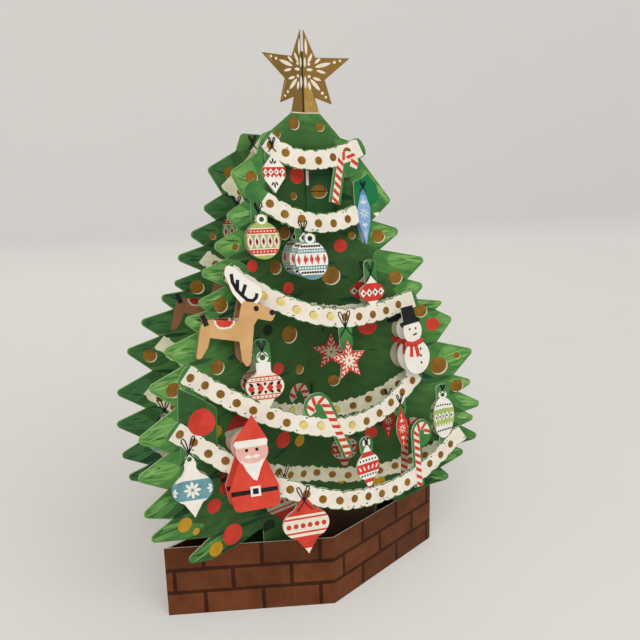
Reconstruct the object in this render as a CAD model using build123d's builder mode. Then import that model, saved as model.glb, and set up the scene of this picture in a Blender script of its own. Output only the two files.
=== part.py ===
"""A pop-up tree card, standing open: die-cut card sheets in a planter folded from one strip.

Millimetres, +Z up, +X to the right, the front towards -Y. The origin is the middle of the
planter's bottom edge. Each sheet is a folded blank cut to its outline, as a die would cut it.
"""
import os
from math import cos, hypot, pi, radians, sin, tan

from build123d import *

os.makedirs("parts", exist_ok=True)

# Card, and the allowances for cutting and slotting it
card = 0.5
slot_clearance = 0.15
overrun = 4.0

# Planter: one strip folded to a rhombus, its end flap glued inside the back left wall
planter_half_width = 64.0
planter_half_depth = 24.0
planter_height = 30.0
planter_flap = 12.0

# Tree sheets: a front and a back one, each folded down the middle with its wings swept outward
tree_half_span = 75.0
crown_height = 168.0
fold_depth = 6.5
wing_reach = 19.5
branch_round = 1.8
tip_allowance = 1.8
foot_lift = 1.0
foot_flap = 7.5
foot_flap_height = 20.0
back_rise = 2.5

# Star and its neck, cut in one with the front tree sheet and split down the fold at the top
star_half_width = 17.6
star_height = 27.9
star_rise = 3.2
star_slot_width = 1.2
star_slot_depth = 9.0
neck_half_width = 5.8
neck_top_half_width = 2.6

# Struts: folded plates through the two tree folds, which rise above the rim by shares of the crown
upper_strut_height = 17.0
upper_strut_rise_share = 0.774
lower_strut_height = 12.0
lower_strut_rise_share = 0.3155
strut_tab_height = 5.0
strut_tab_proud = 1.4
strut_flap = 11.0

# Garland sheet: folded the other way, leaning out towards its foot and glued to the front wings.
# The garlands' width and the ornaments' size are shares of the crown's height.
garland_neck_depth = 10.9
garland_rim_depth = 37.6
garland_set_back = 12.0
garland_width_share = 0.0387
scallop_pitch = 5.0
scallop_rise = 0.55
scallop_shoulder_share = 0.25

# Ornaments cut in one with the garlands, and the figures held off them on pads
ornament_share = 1 / 12
hanger_width = 6.2
hanger_round = 2.4
cap_width = 4.4
cane_width = 3.0
cane_margin = 1.1
cane_hook = 3.0
figure_size = 10.0
deep_pad = 5.0
thin_pad = 2.2
pad_size = 5.0
tail_width = 1.9

# Outlines, in shares of the half span across and of the crown's height above the planter's rim
left_branch_shares = [
    (0.20, 0.96), (0.26, 0.95), (0.29, 0.91), (0.42, 0.87), (0.37, 0.81), (0.46, 0.78),
    (0.41, 0.75), (0.54, 0.72), (0.48, 0.69), (0.63, 0.665), (0.50, 0.63), (0.64, 0.605),
    (0.60, 0.583), (0.72, 0.575), (0.66, 0.54), (0.83, 0.515), (0.74, 0.475), (0.91, 0.445),
    (0.79, 0.39), (0.98, 0.34), (0.84, 0.295), (1.0, 0.26), (0.86, 0.215), (0.99, 0.175),
    (0.85, 0.145), (0.98, 0.115), (0.66, 0.068), (0.80, 0.03), (0.66, 0.012), (0.49, 0.022),
]
right_branch_shares = [
    (0.18, 0.945), (0.30, 0.925), (0.27, 0.905), (0.42, 0.80), (0.34, 0.755), (0.48, 0.73),
    (0.38, 0.685), (0.62, 0.66), (0.53, 0.61), (0.61, 0.595), (0.56, 0.56), (0.72, 0.55),
    (0.69, 0.53), (0.77, 0.505), (0.70, 0.447), (0.90, 0.42), (0.80, 0.356), (0.91, 0.336),
    (0.83, 0.31), (0.97, 0.27), (0.87, 0.255), (0.92, 0.234), (0.85, 0.217), (0.96, 0.18),
    (0.80, 0.163), (0.87, 0.143), (0.73, 0.105), (0.78, 0.072), (0.67, 0.06), (0.49, 0.024),
]
wall_notch_share = 0.036
star_shares = [(0, 1.0), (0.27, 0.60), (1.0, 0.595), (0.46, 0.315), (0.60, 0), (0, 0.15)]

# Each garland: its left end, its lowest place and its right end
garland_names = ["top_garland", "upper_garland", "middle_garland", "lower_garland", "bottom_garland"]
garland_shares = [
    ((-0.244, 0.943), (-0.013, 0.895), (0.289, 0.926)),
    ((-0.347, 0.842), (0.040, 0.755), (0.387, 0.807)),
    ((-0.487, 0.664), (0.187, 0.536), (0.573, 0.562)),
    ((-0.743, 0.462), (0.107, 0.292), (0.573, 0.378)),
    ((-0.820, 0.344), (0.267, 0.112), (0.867, 0.202)),
]

# Ornaments of each garland: across, rise above the garland's middle line, width and height.
# All but the first are shares of the ornament size.
drop_shares = [
    [(-0.204, -0.72, 0.64, 1.05)],
    [(0.289, -0.17, 0.43, 1.64)],
    [],
    [(0.422, -0.99, 0.41, 1.29)],
    [],
]
onion_shares = [
    [],
    [],
    [(0.297, 0.60, 0.89, 0.95)],
    [(-0.348, 0.78, 1.03, 1.36)],
    [(-0.745, -1.30, 1.07, 1.50), (-0.208, -0.82, 1.29, 1.62), (0.171, 0.86, 0.81, 1.36)],
]
bauble_shares = [
    [],
    [(-0.084, -1.03, 0.89, 1.01), (-0.299, -1.17, 0.89, 0.97)],
    [],
    [],
    [(0.732, 0.97, 0.79, 1.28)],
]
hanging_star_share = (0.109, -1.17, 0.60)
star_waist_share = 0.47
# Grounds of the bows, which tie the ornaments to the garlands: across, then the lower and upper ends
hanger_shares = [
    [(-0.204, -0.51, 0.03)],
    [(-0.084, -0.65, 0.01), (-0.299, -0.80, -0.08), (0.289, 0.22, 0.82)],
    [(0.103, -0.88, -0.04), (0.297, 0.74, 1.52)],
    [(0.422, -0.62, 0.10), (-0.348, 1.19, 2.03)],
    [(-0.745, -0.76, 0.08), (-0.208, -0.50, 0.16), (0.733, 0.04, 0.52), (0.733, 1.42, 2.02),
     (0.171, 1.18, 1.70)],
]
# Candy canes: across and rise of the foot, length of the stem, then its lean and the side of the hook
cane_shares = [[(0.109, -1.22, 1.19)], [], [], [(0.056, -0.81, 1.63)], [(0.513, -0.39, 1.57)]]
cane_turns = [[(15.7, 1)], [], [], [(-21, -1)], [(1, 1)]]
# Tie of the snowman to its garland: across, then the lower and upper ends
tie_shares = [[], [], [], [(0.522, 0.365, 0.424)], []]
# Webs where the sheet runs on from a garland to the front wings or to the reindeer's head
web_shares = [
    [],
    [(0.233, 0.765), (0.237, 0.845), (0.287, 0.855), (0.313, 0.864), (0.360, 0.840), (0.380, 0.800)],
    [(-0.441, 0.590), (-0.441, 0.645), (-0.285, 0.598), (-0.285, 0.572), (-0.360, 0.583)],
    [],
    [(-0.793, 0.322), (-0.780, 0.432), (-0.693, 0.406), (-0.613, 0.379), (-0.593, 0.371), (-0.607, 0.277)],
]
# Forms of the drops and onions, in shares of their half width and half height
drop_shoulder_share = 0.25
drop_hip_share = -0.17
onion_belly_share = 0.56
onion_neck_shares = (0.70, 0.25)
onion_tail_shares = (0.60, -0.33)

# Reindeer, from its nose down and round, the pale ground of its antlers, and its tail
reindeer_shares = [
    (-0.288, 0.567), (-0.309, 0.553), (-0.375, 0.561), (-0.396, 0.548), (-0.427, 0.470),
    (-0.447, 0.459), (-0.468, 0.475), (-0.472, 0.516), (-0.607, 0.529), (-0.621, 0.510),
    (-0.657, 0.487), (-0.680, 0.487), (-0.652, 0.542), (-0.641, 0.557), (-0.604, 0.567),
    (-0.469, 0.558), (-0.444, 0.596), (-0.429, 0.602), (-0.351, 0.590), (-0.297, 0.577),
]
antler_ground_shares = [
    (-0.430, 0.585), (-0.482, 0.618), (-0.513, 0.660), (-0.500, 0.679), (-0.462, 0.672), (-0.405, 0.646),
    (-0.345, 0.628), (-0.343, 0.608), (-0.385, 0.585),
]
tail_shares = [(-0.618, 0.553), (-0.634, 0.578)]
reindeer_round = 1.2

# Father Christmas: hat, head and coat
santa_hat_shares = [(-0.449, 0.358), (-0.553, 0.300), (-0.382, 0.300)]
santa_head_share = (-0.466, 0.282, 0.160)
santa_coat_shares = [
    (-0.525, 0.268), (-0.405, 0.266), (-0.350, 0.200), (-0.353, 0.155), (-0.573, 0.153), (-0.589, 0.200)
]
figure_round = 2.4

# Snowman: the middle of its body, then hat, head and body from there in shares of the figure size
snowman_place_share = (0.522, 0.424)
snowman_hat_shares = [(-0.675, 2.08), (-0.045, 2.13), (0.08, 1.65), (0.27, 1.55), (0.255, 1.43),
                      (-0.765, 1.34), (-0.78, 1.48), (-0.59, 1.51)]
snowman_head_shares = (-0.13, 1.09, 0.96)
snowman_body_shares = (0, 0, 1.34)
pad_shares = {
    "reindeer_pad": (-0.434, 0.545),
    "father_christmas_pad": (-0.466, 0.222),
    "snowman_pad": (0.522, 0.424),
}
pad_depths = {
    "reindeer_pad": deep_pad,
    "father_christmas_pad": deep_pad,
    "snowman_pad": deep_pad,
    "round_bauble_pad": deep_pad,
    "striped_bauble_pad": thin_pad,
}

# Worked out from the sizes above
rim = planter_height
neck_height = rim + crown_height
card_top = neck_height + star_rise + star_height
upper_strut_base = rim + upper_strut_rise_share * crown_height
lower_strut_base = rim + lower_strut_rise_share * crown_height
sheet_half = tree_half_span + tip_allowance + overrun
wing_slope = -wing_reach / tree_half_span
wall_slope = planter_half_depth / planter_half_width
wing_card = card * hypot(1, wing_slope)
wall_card = card * hypot(1, wall_slope)
foot_half = (planter_half_depth - 1.5 * wall_card - fold_depth) / (wall_slope - wing_slope)
garland_width = garland_width_share * crown_height
ornament_size = ornament_share * crown_height
garland_lean = (garland_rim_depth - garland_neck_depth) / crown_height
garland_slope = garland_set_back / tree_half_span
garland_foot_depth = garland_rim_depth + garland_lean * rim
garland_card = card * hypot(1, garland_slope, garland_lean)
fillet_share = 0.45


def place(across_share, up_share):
    """A place on the front view, from its shares of the half span and the crown's height."""
    return (across_share * tree_half_span, rim + up_share * crown_height)


def folded_blank(fold_y, slope, front, back, lean=0):
    """A card folded down the middle: its fold, the run of its wings, its two faces and its lean."""
    wing_y = fold_y + slope * sheet_half
    plan = [
        (-sheet_half, wing_y + front), (0, fold_y + front), (sheet_half, wing_y + front),
        (sheet_half, wing_y + back), (0, fold_y + back), (-sheet_half, wing_y + back),
    ]
    with BuildPart() as blank:
        with BuildSketch():
            Polygon(*plan, align=None)
        extrude(amount=card_top * hypot(1, lean), dir=Vector(0, lean, 1).normalized())
    return blank.part


def rounded_face(points, wanted):
    """A face with sharp inner corners and rounded outer ones, no rounder than their runs have room for."""
    radii = []
    corners = [Vector(*point) for point in points]
    way = sum(a.X * b.Y - a.Y * b.X for a, b in zip(corners, corners[1:] + corners[:1]))
    for i, corner in enumerate(corners):
        before = corners[i - 1] - corner
        after = corners[(i + 1) % len(corners)] - corner
        room = fillet_share * min(before.length, after.length)
        is_outer = after.cross(before).Z * way > 0
        radii.append(is_outer * min(wanted, room * tan(radians(before.get_angle(after)) / 2)))
    with BuildLine() as edge:
        FilletPolyline(*points, radius=radii, close=True)
    make_face(edge.edges())


def export(piece, name):
    piece.label = name
    export_step(piece, f"parts/{name}.step")


def branch_points(shares, side, rise):
    """One wing's outline, from the neck down to the notch that clears the planter's wall."""
    points = []
    for i, (across_share, up_share) in enumerate(shares):
        x, z = place(across_share, up_share)
        is_tip = across_share > max(shares[i - 1][0], shares[(i + 1) % len(shares)][0])
        points.append((side * (x + tip_allowance * is_tip), z + rise))
    notch = rim + wall_notch_share * crown_height
    wall_x = (planter_half_depth - fold_depth) / (wall_slope - wing_slope)
    return points + [(side * (wall_x + 2 * card), notch), (side * foot_half, notch)]


def neck_and_star():
    """The neck and the star above it, with the slot that splits the top point."""
    star_foot = neck_height + star_rise
    star = [(x * star_half_width, star_foot + z * star_height) for x, z in star_shares]
    star += [(-x, z) for x, z in reversed(star[1:-1])]
    neck_top = star_foot + star_shares[3][1] * star_height
    Polygon((-neck_half_width, neck_height - card), (neck_half_width, neck_height - card),
            (neck_top_half_width, neck_top), (-neck_top_half_width, neck_top), align=None)
    Polygon(*star, align=None)
    with Locations((0, card_top - star_slot_depth)):
        Rectangle(star_slot_width, star_slot_depth + overrun,
                  align=(Align.CENTER, Align.MIN), mode=Mode.SUBTRACT)


def tree_sheet(facing):
    """A tree sheet cut from one card: facing -1 is the front one, with the star, and 1 the back one."""
    rise = back_rise if facing == 1 else 0
    left = branch_points(left_branch_shares, -1, rise)
    right = branch_points(right_branch_shares, 1, rise)
    crown = [*left, (-foot_half, foot_lift), (foot_half, foot_lift), *reversed(right)]
    if facing == -1:
        crown += [(neck_half_width, neck_height), (-neck_half_width, neck_height)]
    else:
        crown = crown[1:-1]
    blank = folded_blank(facing * fold_depth, -facing * wing_slope, -wing_card / 2, wing_card / 2)
    with BuildPart() as sheet:
        add(blank)
        with BuildSketch(Plane.XZ):
            rounded_face(crown, branch_round)
            if facing == -1:
                neck_and_star()
        extrude(amount=fold_depth + sheet_half, both=True, mode=Mode.INTERSECT)
        # Flaps of the foot, glued flat to the inside of the planter's walls
        with BuildSketch(Plane.XY.offset(foot_lift)):
            for side in (-1, 1):
                flap = []
                for x, inset in ((foot_half - card, 1), (foot_half + foot_flap, 1),
                                 (foot_half + foot_flap, 2), (foot_half - card, 2)):
                    y = planter_half_depth - wall_slope * x - inset * wall_card
                    flap.append((side * x, facing * y))
                Polygon(*flap, align=None)
        extrude(amount=foot_flap_height)
        # Slots at the fold for the struts
        slots = [(upper_strut_base, upper_strut_height)]
        slots += [(lower_strut_base + (lower_strut_height - strut_tab_height) / 2, strut_tab_height)]
        with BuildSketch(Plane.XZ):
            for base, height in slots:
                with Locations((0, base - slot_clearance)):
                    Rectangle(card + 2 * slot_clearance, height + 2 * slot_clearance,
                              align=(Align.CENTER, Align.MIN))
        extrude(amount=facing * -(fold_depth + overrun), mode=Mode.SUBTRACT)
    return sheet.part


# Planter
with BuildPart() as planter:
    with BuildSketch():
        Polygon((-planter_half_width, 0), (0, -planter_half_depth),
                (planter_half_width, 0), (0, planter_half_depth), align=None)
        offset(amount=-card, kind=Kind.INTERSECTION, mode=Mode.SUBTRACT)
        inner_corner = planter_half_width - wall_card / wall_slope
        flap_end = planter_half_width - planter_flap
        Polygon((-inner_corner, 0), (-flap_end, wall_slope * (inner_corner - flap_end)),
                (-flap_end, wall_slope * (inner_corner - flap_end) - wall_card),
                (-inner_corner + wall_card / wall_slope, 0), align=None)
    extrude(amount=planter_height)
export(planter.part, "planter")

# Tree sheets
export(tree_sheet(-1), "front_tree")
export(tree_sheet(1), "back_tree")

# Upper strut: passes both folds, and its front end turns over as a glue flap on the right wing
strut_reach = fold_depth - wing_card / 2 - slot_clearance
tab_reach = fold_depth + wing_card / 2 + strut_tab_proud
with BuildPart() as upper_strut:
    with BuildSketch(Plane.YZ):
        with Locations((0, upper_strut_base)):
            Rectangle(2 * fold_depth + wing_card + 2 * card, upper_strut_height,
                      align=(Align.CENTER, Align.MIN))
    extrude(amount=card / 2, both=True)
    with BuildSketch(Plane.XY.offset(upper_strut_base)):
        front_y = -fold_depth - wing_card / 2
        Polygon((-card / 2, front_y), (0, front_y), (strut_flap, front_y + wing_slope * strut_flap),
                (strut_flap, front_y + wing_slope * strut_flap - wing_card),
                (0, front_y - wing_card), (-card / 2, front_y - wing_card), align=None)
    extrude(amount=upper_strut_height)
export(upper_strut.part, "upper_strut")

# Lower strut: a plate with a tab through each fold
with BuildPart() as lower_strut:
    with BuildSketch(Plane.YZ):
        with Locations((0, lower_strut_base + lower_strut_height / 2)):
            Rectangle(2 * strut_reach, lower_strut_height)
            Rectangle(2 * tab_reach, strut_tab_height)
    extrude(amount=card / 2, both=True)
export(lower_strut.part, "lower_strut")

# Garland blank: two facets in front of the tree, each ending in a glue strip flat on the front wing
wing_front = -fold_depth - wing_card / 2
facet = (-garland_foot_depth, garland_slope)
with BuildPart() as glue_strips:
    add(folded_blank(wing_front, wing_slope, -wing_card, 0))
    add(folded_blank(*facet, garland_card / 2, sheet_half, garland_lean), mode=Mode.SUBTRACT)
with BuildPart() as garland_blank:
    add(folded_blank(*facet, -garland_card / 2, garland_card / 2, garland_lean))
    add(folded_blank(wing_front, wing_slope, 0, sheet_half), mode=Mode.SUBTRACT)
    add(glue_strips.part)


def garland_line(shares, x):
    """The place on a garland's sagging middle line that lies this far across."""
    left, low, right = [place(*pair) for pair in shares]
    end = left if x < low[0] else right
    return Vector(x, low[1] + (end[1] - low[1]) * ((x - low[0]) / (end[0] - low[0])) ** 2)


def hung(garland, across_share, rise_share):
    """A place that keeps its distance from a garland's middle line."""
    spot = garland_line(garland_shares[garland], across_share * tree_half_span)
    return (spot.X, spot.Y + rise_share * ornament_size)


def scalloped_band(shares):
    """The garland itself: a sagging band with a scalloped edge above and below."""
    start = shares[0][0] * tree_half_span
    length = (shares[2][0] - shares[0][0]) * tree_half_span
    count = round(length / scallop_pitch)
    upper = []
    lower = []
    for i in range(count + 1):
        x = start + length * i / count
        middle = garland_line(shares, x)
        ahead = garland_line(shares, x + scallop_rise) - garland_line(shares, x - scallop_rise)
        normal = Vector(-ahead.Y, ahead.X).normalized() * (garland_width / 2)
        upper.append(middle + normal)
        lower.append(middle - normal)
    ring = upper + lower[::-1]
    edge = []
    for start, end in zip(ring, ring[1:] + ring[:1]):
        run = end - start
        bulge = Vector(-run.Y, run.X).normalized() * scallop_rise
        shoulder = run * scallop_shoulder_share
        edge += [start, start + shoulder + bulge, end - shoulder + bulge]
    Polygon(*edge, align=None)


def drop(garland, across_share, rise_share, wide_share, high_share):
    """A long ornament with a broad middle and pointed ends."""
    x, z = hung(garland, across_share, rise_share)
    half_width = wide_share * ornament_size / 2
    half_height = high_share * ornament_size / 2
    shoulder = z + drop_shoulder_share * half_height
    hip = z + drop_hip_share * half_height
    Polygon((x, z + half_height), (x + half_width, shoulder), (x + half_width, hip),
            (x, z - half_height), (x - half_width, hip), (x - half_width, shoulder), align=None)


def onion(garland, across_share, rise_share, wide_share, high_share):
    """A round ornament drawn out to a cap above and a point below."""
    x, z = hung(garland, across_share, rise_share)
    half_width = wide_share * ornament_size / 2
    half_height = high_share * ornament_size / 2
    neck_x, neck_z = (onion_neck_shares[0] * half_width, z + onion_neck_shares[1] * half_height)
    tail_x, tail_z = (onion_tail_shares[0] * half_width, z + onion_tail_shares[1] * half_height)
    with Locations((x, z)):
        Ellipse(half_width, onion_belly_share * half_height)
    Polygon((x, z + half_height), (x + neck_x, neck_z), (x + tail_x, tail_z),
            (x, z - half_height), (x - tail_x, tail_z), (x - neck_x, neck_z), align=None)


def bauble(garland, across_share, rise_share, wide_share, high_share):
    """A plain oval ornament with a cap."""
    with Locations(hung(garland, across_share, rise_share)):
        Ellipse(wide_share * ornament_size / 2, high_share * ornament_size / 2)
        with Locations((0, high_share * ornament_size / 2)):
            Rectangle(cap_width, cap_width)


def hanger(garland, across_share, low_share, high_share):
    """The ground behind an ornament's bow, which ties it to the garland."""
    x, low = hung(garland, across_share, low_share)
    high = hung(garland, across_share, high_share)[1]
    with Locations((x, (low + high) / 2)):
        RectangleRounded(hanger_width, high - low, min(hanger_round, fillet_share * (high - low)))


def tie(across_share, low_share, high_share):
    """A strip that ties the lower layer of a figure to its garland."""
    x, low = place(across_share, low_share)
    high = place(across_share, high_share)[1]
    with Locations((x, (low + high) / 2)):
        Rectangle(hanger_width, high - low)


def cane(garland, across_share, rise_share, long_share, lean, side):
    """A candy cane with a margin round it: a straight stem, and a round head that holds the hook."""
    margin_width = cane_width + 2 * cane_margin
    along = Vector(sin(radians(lean)), cos(radians(lean)))
    foot = Vector(*hung(garland, across_share, rise_share))
    shoulder = foot + along * (long_share * ornament_size)
    with BuildLine() as stem:
        Line(foot, shoulder)
    trace(stem.edges(), line_width=margin_width)
    with Locations(shoulder + Vector(along.Y, -along.X) * (side * cane_hook)):
        Circle(cane_hook + margin_width / 2)


def hanging_star(garland, across_share, rise_share, radius_share):
    """The five-pointed star under the middle garland."""
    x, z = hung(garland, across_share, rise_share)
    radius = radius_share * ornament_size
    points = []
    for i in range(10):
        reach = radius * (star_waist_share if i % 2 else 1)
        points.append((x + reach * sin(i * pi / 5), z + reach * cos(i * pi / 5)))
    Polygon(*points, align=None)


def reindeer_body():
    rounded_face([place(*pair) for pair in reindeer_shares], reindeer_round)


def santa_body():
    rounded_face([place(*pair) for pair in santa_coat_shares], figure_round)
    with Locations(place(*santa_head_share[:2])):
        Circle(santa_head_share[2] * tree_half_span / 2)


def snowman_spot(across_share, up_share):
    """A place on the snowman, from its shares of the figure size off the middle of the body."""
    x, z = place(*snowman_place_share)
    return (x + across_share * figure_size, z + up_share * figure_size)


def snowman_body():
    for across_share, up_share, wide_share in (snowman_head_shares, snowman_body_shares):
        with Locations(snowman_spot(across_share, up_share)):
            Circle(wide_share * figure_size / 2)


# Garlands, each with its ornaments and the lower layer of its figures in one piece
backing = {"middle_garland": reindeer_body, "lower_garland": snowman_body, "bottom_garland": santa_body}
for i, name in enumerate(garland_names):
    with BuildPart() as garland:
        add(garland_blank.part)
        with BuildSketch(Plane.XZ):
            scalloped_band(garland_shares[i])
            for form, table in ((drop, drop_shares), (onion, onion_shares), (bauble, bauble_shares),
                                (hanger, hanger_shares)):
                for shares in table[i]:
                    form(i, *shares)
            for shares, turns in zip(cane_shares[i], cane_turns[i]):
                cane(i, *shares, *turns)
            for shares in tie_shares[i]:
                tie(*shares)
            if web_shares[i]:
                Polygon(*[place(*pair) for pair in web_shares[i]], align=None)
            if name == "middle_garland":
                hanging_star(i, *hanging_star_share)
            if name in backing:
                backing[name]()
        extrude(amount=garland_foot_depth + overrun, both=True, mode=Mode.INTERSECT)
    export(garland.part, name)


pad_places = {name: place(*shares) for name, shares in pad_shares.items()}
pad_places["round_bauble_pad"] = hung(1, *bauble_shares[1][0][:2])
pad_places["striped_bauble_pad"] = hung(1, *bauble_shares[1][1][:2])


def pad(name):
    """A card pad between a garland's front face and the figure that it carries."""
    front_y = -garland_card / 2 - pad_depths[name]
    blank = folded_blank(*facet, front_y, -garland_card / 2, garland_lean)
    with BuildPart() as block:
        add(blank)
        with BuildSketch(Plane.XZ):
            with Locations(pad_places[name]):
                Rectangle(pad_size, pad_size)
        extrude(amount=garland_foot_depth + overrun, both=True, mode=Mode.INTERSECT)
    export(block.part, name)


for name in pad_places:
    pad(name)


def figure_blank(depth):
    """The card layer that lies on pads of this depth."""
    back_y = -garland_card / 2 - depth
    return folded_blank(*facet, back_y - garland_card, back_y, garland_lean)


# Reindeer, with the ground of its antlers and its tail
with BuildPart() as reindeer:
    add(figure_blank(deep_pad))
    with BuildSketch(Plane.XZ):
        reindeer_body()
        rounded_face([place(*pair) for pair in antler_ground_shares], figure_round)
        with BuildLine() as tail:
            Line(place(*tail_shares[0]), place(*tail_shares[1]))
        trace(tail.edges(), line_width=tail_width)
    extrude(amount=garland_foot_depth + overrun, both=True, mode=Mode.INTERSECT)
export(reindeer.part, "reindeer")

# Father Christmas, with his hat
with BuildPart() as father_christmas:
    add(figure_blank(deep_pad))
    with BuildSketch(Plane.XZ):
        santa_body()
        Polygon(*[place(*pair) for pair in santa_hat_shares], align=None)
    extrude(amount=garland_foot_depth + overrun, both=True, mode=Mode.INTERSECT)
export(father_christmas.part, "father_christmas")

# Snowman, with its hat
with BuildPart() as snowman:
    add(figure_blank(deep_pad))
    with BuildSketch(Plane.XZ):
        snowman_body()
        Polygon(*[snowman_spot(*pair) for pair in snowman_hat_shares], align=None)
    extrude(amount=garland_foot_depth + overrun, both=True, mode=Mode.INTERSECT)
export(snowman.part, "snowman")

# Round and striped baubles
for name, shares, depth in (("round_bauble", bauble_shares[1][0], deep_pad),
                            ("striped_bauble", bauble_shares[1][1], thin_pad)):
    with BuildPart() as layer:
        add(figure_blank(depth))
        with BuildSketch(Plane.XZ):
            bauble(1, *shares)
        extrude(amount=garland_foot_depth + overrun, both=True, mode=Mode.INTERSECT)
    export(layer.part, name)
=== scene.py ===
import random
from math import atan2, cos, hypot, pi, radians, sin, sqrt, tan

import bmesh
import bpy
from mathutils import Matrix, Vector


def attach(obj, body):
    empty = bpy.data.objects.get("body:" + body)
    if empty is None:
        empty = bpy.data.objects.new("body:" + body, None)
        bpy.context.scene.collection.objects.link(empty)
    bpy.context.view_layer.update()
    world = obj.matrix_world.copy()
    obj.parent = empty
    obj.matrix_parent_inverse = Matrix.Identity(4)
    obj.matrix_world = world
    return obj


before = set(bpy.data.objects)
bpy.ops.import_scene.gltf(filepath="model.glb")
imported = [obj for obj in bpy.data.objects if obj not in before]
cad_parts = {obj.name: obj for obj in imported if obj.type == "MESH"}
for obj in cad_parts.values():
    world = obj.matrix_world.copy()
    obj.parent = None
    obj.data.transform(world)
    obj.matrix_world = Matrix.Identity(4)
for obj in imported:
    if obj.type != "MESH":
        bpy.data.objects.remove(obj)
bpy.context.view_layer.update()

mm = 0.001
card = 0.5


# Planter: one strip of card folded to a four-sided wall and glued at its end flap.
# The outside is printed with brickwork in running bond, the inside is left dark, and the
# cut edge along the top shows the pale core of the card.
card_specular = 0.1
wash_span = (0.36, 0.62)
tooth_size = 0.6
tooth_depth = 0.06
tooth_strength = 0.15
stroke_slope = radians(18)


def feed(material, node, inputs):
    """Sets a node's inputs, each to a value or to another node's output."""
    for socket, value in inputs.items():
        if isinstance(value, bpy.types.NodeSocket):
            material.node_tree.links.new(value, node.inputs[socket])
        else:
            node.inputs[socket].default_value = value


def shader_node(material, kind, inputs=None, **settings):
    """Adds a shader node to a material, with its settings and its inputs."""
    node = material.node_tree.nodes.new(f"ShaderNode{kind}")
    for setting, value in settings.items():
        setattr(node, setting, value)
    feed(material, node, inputs or {})
    return node


def reckon(material, operation, *terms):
    """The result of a maths node, from numbers and other nodes' outputs."""
    return shader_node(material, "Math", dict(enumerate(terms)), operation=operation).outputs["Value"]


def brushed(material, coordinates, drag):
    """Coordinates mirrored about the fold and drawn out along the branches, as brush strokes are."""
    split = shader_node(material, "SeparateXYZ", {"Vector": coordinates})
    across = reckon(material, "ABSOLUTE", split.outputs["X"])
    flat = shader_node(material, "CombineXYZ", {"X": across, "Z": split.outputs["Z"]})
    stretch = {"Vector": flat.outputs["Vector"], "Rotation": (0, stroke_slope, 0), "Scale": (drag, 1, 1)}
    return shader_node(material, "Mapping", stretch, vector_type="TEXTURE").outputs["Vector"]


def card_finish(name, light, dark, patch=9.0, roughness=0.6, metallic=0.0, drag=1.0):
    """Printed card: one ink in two near tones, cloudy as a wash is, over the card's fine tooth."""
    material = bpy.data.materials.new(name)
    material.use_nodes = True
    coordinates = shader_node(material, "TexCoord").outputs["Object"]
    spread = brushed(material, coordinates, drag) if drag > 1 else coordinates
    wash = shader_node(material, "TexNoise", {"Vector": spread, "Scale": 1 / (patch * mm), "Detail": 6,
                                              "Roughness": 0.65})
    tone = shader_node(material, "ValToRGB", {"Fac": wash.outputs["Fac"]})
    for element, position, colour in zip(tone.color_ramp.elements, wash_span, (dark, light)):
        element.position = position
        element.color = (*colour, 1)
    grain = shader_node(material, "TexNoise", {"Vector": coordinates, "Scale": 1 / (tooth_size * mm),
                                               "Detail": 3})
    bump = shader_node(material, "Bump", {"Height": grain.outputs["Fac"], "Strength": tooth_strength,
                                          "Distance": tooth_depth * mm})
    feed(material, material.node_tree.nodes["Principled BSDF"], {
        "Base Color": tone.outputs["Color"], "Normal": bump.outputs["Normal"], "Roughness": roughness,
        "Metallic": metallic, "Specular IOR Level": card_specular})
    return material


def blend(material, factor, colour):
    """Lays a flat colour over a material's own, by a factor."""
    base = material.node_tree.nodes["Principled BSDF"]
    own = base.inputs["Base Color"].links[0].from_socket
    mixed = shader_node(material, "Mix", {"Factor": factor, "A": own, "B": (*colour, 1)}, data_type="RGBA")
    feed(material, base, {"Base Color": mixed.outputs["Result"]})


def cut_edge(material, axis, least, most, core):
    """Shows the card's core where a face's normal has this much of an axis, as a cut edge does."""
    normal = shader_node(material, "NewGeometry").outputs["True Normal"]
    facing = shader_node(material, "SeparateXYZ", {"Vector": normal})
    depth = reckon(material, "ABSOLUTE", facing.outputs[axis])
    blend(material, reckon(material, "COMPARE", depth, (least + most) / 2, (most - least) / 2), core)


def dress(node, material):
    """Gives a CAD node's mesh one finish all over."""
    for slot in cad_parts[node].material_slots:
        slot.material = material


ink_body = 0.02
ink_sink = 0.02


def print_on(name, fields, inks, folds, surface):
    """Lays printed fields on a sheet: drawn flat, cut along its folds, given ink's body, then folded."""
    bpy.ops.object.select_all(action="DESELECT")
    names = list(inks)
    piece = None
    for outline, ink, layer in fields:
        bpy.ops.mesh.primitive_circle_add(vertices=len(outline), fill_type="NGON")
        if piece is None:
            piece = bpy.context.object
            piece.name = name
            piece.data.name = name
            bpy.ops.object.mode_set(mode="EDIT")
            flat = bmesh.from_edit_mesh(piece.data)
        flat.verts.ensure_lookup_table()
        corners = flat.verts[-len(outline):]
        for corner, (x, z) in zip(corners, outline):
            corner.co = (x, -ink_body * layer, z)
        corners[0].link_faces[0].material_index = names.index(ink)
    bpy.ops.mesh.select_all(action="SELECT")
    for through, across in folds:
        bpy.ops.mesh.bisect(plane_co=through, plane_no=across)
        bpy.ops.mesh.select_all(action="SELECT")
    bpy.ops.mesh.extrude_region_move(TRANSFORM_OT_translate={"value": (0, 1, 0)})
    bpy.ops.object.mode_set(mode="OBJECT")
    for corner in piece.data.vertices:
        lift = -corner.co.y if corner.co.y < 0 else -ink_sink
        corner.co = Vector(surface(corner.co.x, corner.co.z, lift)) * mm
    for ink in names:
        piece.data.materials.append(inks[ink])
    bpy.ops.object.mode_set(mode="EDIT")
    bpy.ops.mesh.select_all(action="SELECT")
    bpy.ops.mesh.normals_make_consistent(inside=False)
    bpy.ops.object.mode_set(mode="OBJECT")
    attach(piece, "root")


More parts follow.
